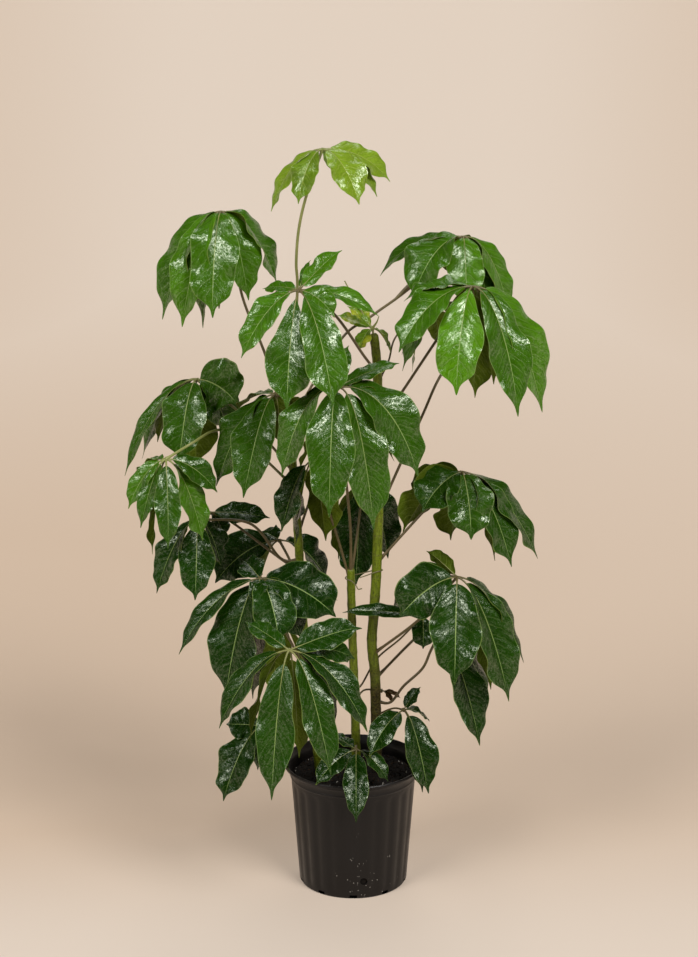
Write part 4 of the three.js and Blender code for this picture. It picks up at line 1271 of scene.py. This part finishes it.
leaf_tree, wiring, entry = new_tree("Compound leaf", leaf_inputs("mature"))
is_thread = wiring.math("GREATER_THAN", tree_value(wiring, "thickness"), 0.0)
stalks = sweep(wiring, entry["Geometry"], entry["Stalk sides"], is_thread)
skins = wiring.result("GeometryNodeDeleteGeometry", {
    "Geometry": entry["Geometry"], "Selection": is_thread}, domain="POINT")
along, across, facing = (tree_value(wiring, label) for label in ("along", "across", "facing"))
gap, reach, _ = vein_gap(wiring, along, across, tree_value(wiring, "veins"))
swell = wiring.math("SINE", wiring.times(gap, math.pi / 2))
inside_edges = wiring.times(wiring.band(reach, 0.03, 0.3), wiring.band(reach, 1.0, 0.75))
inside_ends = wiring.times(wiring.band(along, 0.0, 0.12), wiring.band(along, 1.0, 0.85))
room = wiring.times(inside_edges, inside_ends)
quilt = wiring.times(wiring.times(swell, room), entry["Quilting"])
bumps = wiring.minus(wiring.noise(wiring.result("GeometryNodeInputPosition"), 26.0, 2.0), 0.5)
pucker = wiring.times(wiring.times(bumps, wiring.band(reach, 0.0, 0.35)), entry["Pucker"])
skins = push_out(wiring, skins, wiring.times(wiring.plus(quilt, pucker), facing))
upper_face = wiring.math("GREATER_THAN", facing, 0.5)
whole = smooth_below(wiring, wiring.joined(stalks, skins), SMOOTH_BEND)
close_tree(wiring, whole, [(entry["Under"], True), (entry["Upper"], upper_face), (entry["Stalk"], is_thread)])
print("leaf tree has", len(leaf_tree.nodes), "nodes")

# %% [markdown]
# ## All the leaves
#
# Now the table is read out. Young leaves are bright yellow-green, and those near the front are a fresher
# green than the dark ones in the shade, whose darker green is partly painted shade. Every leaflet takes its
# own fold, wave and tone from its place in the table, so that the plant comes out the same each time.

# %% Freshness of the leaves
# From 0, dark and old, to 1, bright and new, though the low values of the low, inner and back leaves are
# partly painted shade. A leaf that isn't named here is dull and dark.
FRESH_AND_LIT = {
    "crown_leaf": 0.75, "right_crown_leaf": 0.15, "centre_top_leaf": 0.75, "centre_leaf": 0.35,
    "front_leaf": 0.08, "upper_right_leaf": 0.65, "upper_right_back_leaf": 0.6, "upper_left_leaf": 0.6,
    "centre_left_leaf": 0.3, "left_leaf": 0.3, "left_front_leaf": 0.45, "right_leaf": 0.25,
    "lower_right_leaf": 0.08, "high_back_leaf": 0.6,
}
DULL_AND_SHADED = 0.03
GREEN_STALKS = {
    "crown_leaf": 0.7, "right_crown_leaf": 0.6, "left_front_leaf": 0.7, "left_leaf": 0.4, "front_leaf": 0.5,
}
BROWN_STALK = 0.12
print(len(LEAVES) - len(FRESH_AND_LIT), "leaves are dull,", len(GREEN_STALKS), "stalks are green")

# %% Place a leaf's threads
STALK_RADIUS = 2.7
STALK_TRIM = 0.95  # the bark is drawn a little thinner than the entry
STALK_RISE = 0.06  # how far a stalk without a route bows up, as a share of its length
STALK_STEP = 6
KNUCKLE = 4.5  # the radius of the knuckle at a stalk's end
LEAFLET_STALK = 0.1  # the share of a leaflet that is its own stalk, where no entry says more
WIDE_STALK, NARROW_STALK, NARROW_UP_TO = 1.75, 1.3, 30  # two radii, and the breadth that parts them
RIB_END = 0.985  # ribs stop just short of the tip
RIB_STEPS, SHOOT_STEPS = 34, 16


def leaflet_key(number, i):
    """The number that a leaflet's chances are drawn from."""
    return 10 * number + i + 1


def cane_at(cane, height):
    """The middle of a cane at a height."""
    points = CANES[cane]["points"]
    upper = max(next(i for i, point in enumerate(points) if point[2] >= height), 1)
    a, b = np.array(points[upper - 1], float), np.array(points[upper], float)
    return a + (b - a) * (height - a[2]) / (b[2] - a[2])


def leaf_stalk(leaf, hub, greenness):
    """The long stalk, flared where it leaves the cane and thickened to a knuckle at its end."""
    start = cane_at(leaf["cane"], leaf["from"])
    middle = (start + hub) / 2 + (0, 0, STALK_RISE * np.linalg.norm(hub - start))
    line = smooth_line([start, *leaf.get("route", [middle]), hub])
    length = line_length(line)
    shares = np.linspace(0, 1, max(int(length / STALK_STEP), 12))
    radius = leaf.get("stalk", STALK_RADIUS) * STALK_TRIM
    flare = 1 + 0.7 * np.clip(1 - shares / 0.12, 0, 1)
    knuckle = (KNUCKLE - radius) * np.exp(-((1 - shares) * length / 4) ** 2)
    return even_steps(line, shares)[0], radius * flare + knuckle, greenness * (0.4 + 0.6 * shares)


def leaf_threads(leaf, number):
    """The stalk, the leaflets' stalks and ribs, and the shoots, each with its thickness and freshness."""
    hub = np.array(leaf["hub"], float)
    greenness = GREEN_STALKS.get(leaf["name"], BROWN_STALK)
    threads = [leaf_stalk(leaf, hub, greenness)]
    bare = leaf.get("bare", LEAFLET_STALK)
    shares = np.linspace(0, RIB_END, RIB_STEPS)
    for i, leaflet in enumerate(leaf["leaflets"]):
        reach, width, *_ = full_entry(leaflet)
        line = leaflet_line(hub, reach, leaf.get("arch", 1), leaflet_key(number, i))
        places, _ = even_steps(line, shares)
        base = WIDE_STALK if width > NARROW_UP_TO else NARROW_STALK
        knots = [0, bare / 2, bare, bare + 0.15, RIB_END]
        thickness = np.interp(shares, knots, [base * 1.4, base, base * 0.9, 0.8, 0.3])
        fresh = np.interp(shares, [bare / 2, bare + 0.06], [greenness, max(greenness, 0.6)])
        threads.append((places, thickness, fresh))
    for shoot in leaf.get("shoots", []):
        places, _ = even_steps(smooth_line(shoot["points"]), np.linspace(0, 1, SHOOT_STEPS))
        thickness = np.linspace(*shoot["radii"], SHOOT_STEPS)
        threads.append((places, thickness, np.full(SHOOT_STEPS, greenness)))
    return threads


print("the first leaf has", len(leaf_threads(LEAVES[0], 0)), "threads")


# %% Gather a leaf's threads and blades in one mesh
VEIN_STEP = 19  # millimetres between the side veins on one half of a blade


def leaf_mesh(leaf, number):
    """One mesh with a leaf's threads and blades, and the numbers that its tree and finishes read."""
    labels = ("thickness", "fresh", "along", "across", "facing", "veins", "tone")
    places, edges, faces, stored = [], [], [], {label: [] for label in labels}
    count = 0

    def store(points, **values):
        """Adds points with their numbers, and gives the index of the first."""
        nonlocal count
        places.append(points)
        for label in labels:
            stored[label].append(np.broadcast_to(values.get(label, 0.0), len(points)))
        count += len(points)
        return count - len(points)

    for points, thickness, fresh in leaf_threads(leaf, number):
        start = store(points, thickness=thickness * MM, fresh=fresh)
        edges += [(start + i, start + i + 1) for i in range(len(points) - 1)]
    hub, arch, lean = np.array(leaf["hub"], float), leaf.get("arch", 1), leaf.get("lean", LIGHT_LEAN)
    for i, leaflet in enumerate(leaf["leaflets"]):
        key = leaflet_key(number, i)
        line = leaflet_line(hub, leaflet[:3], arch, key)
        upper, under, rows = blade_grid(line, leaflet, leaf.get("bare", LEAFLET_STALK), lean, key)
        shared = {
            "along": np.repeat(rows, len(ACROSS)),
            "across": np.tile(ACROSS, len(rows)),
            "veins": max(5, round(np.linalg.norm(leaflet[:3]) / VEIN_STEP)),
            "tone": chance(key + 0.45),
            # A blade's freshness is partly painted shade, from the table above.
            "fresh": FRESH_AND_LIT.get(leaf["name"], DULL_AND_SHADED) * (0.55 + 0.9 * chance(key + 0.7)),
        }
        start = store(upper.reshape(-1, 3), facing=1.0, **shared)
        store(under.reshape(-1, 3), facing=-1.0, **shared)
        faces.append(blade_faces(len(rows), len(ACROSS)) + start)
    mesh = bpy.data.meshes.new(leaf["name"])
    mesh.from_pydata((np.vstack(places) * MM).tolist(), edges, np.concatenate(faces).tolist())
    for label in labels:
        store_values(mesh, label, np.concatenate(stored[label]))
    return mesh


print("side veins every", VEIN_STEP, "mm on each half of a blade")


# %% Grow every leaf
SLOTS = {"mature": "leaf", "young": "young_leaf", "dry": "dry_leaf"}
for number, leaf in enumerate(LEAVES):
    looks = leaf.get("looks", "mature")
    name = leaf["name"].replace("_leaf", "_foliage")
    piece = grow(name, leaf_mesh(leaf, number), leaf_tree, leaf_inputs(looks))
    seat(piece, SLOTS[looks], leaf["name"])

# %% [markdown]
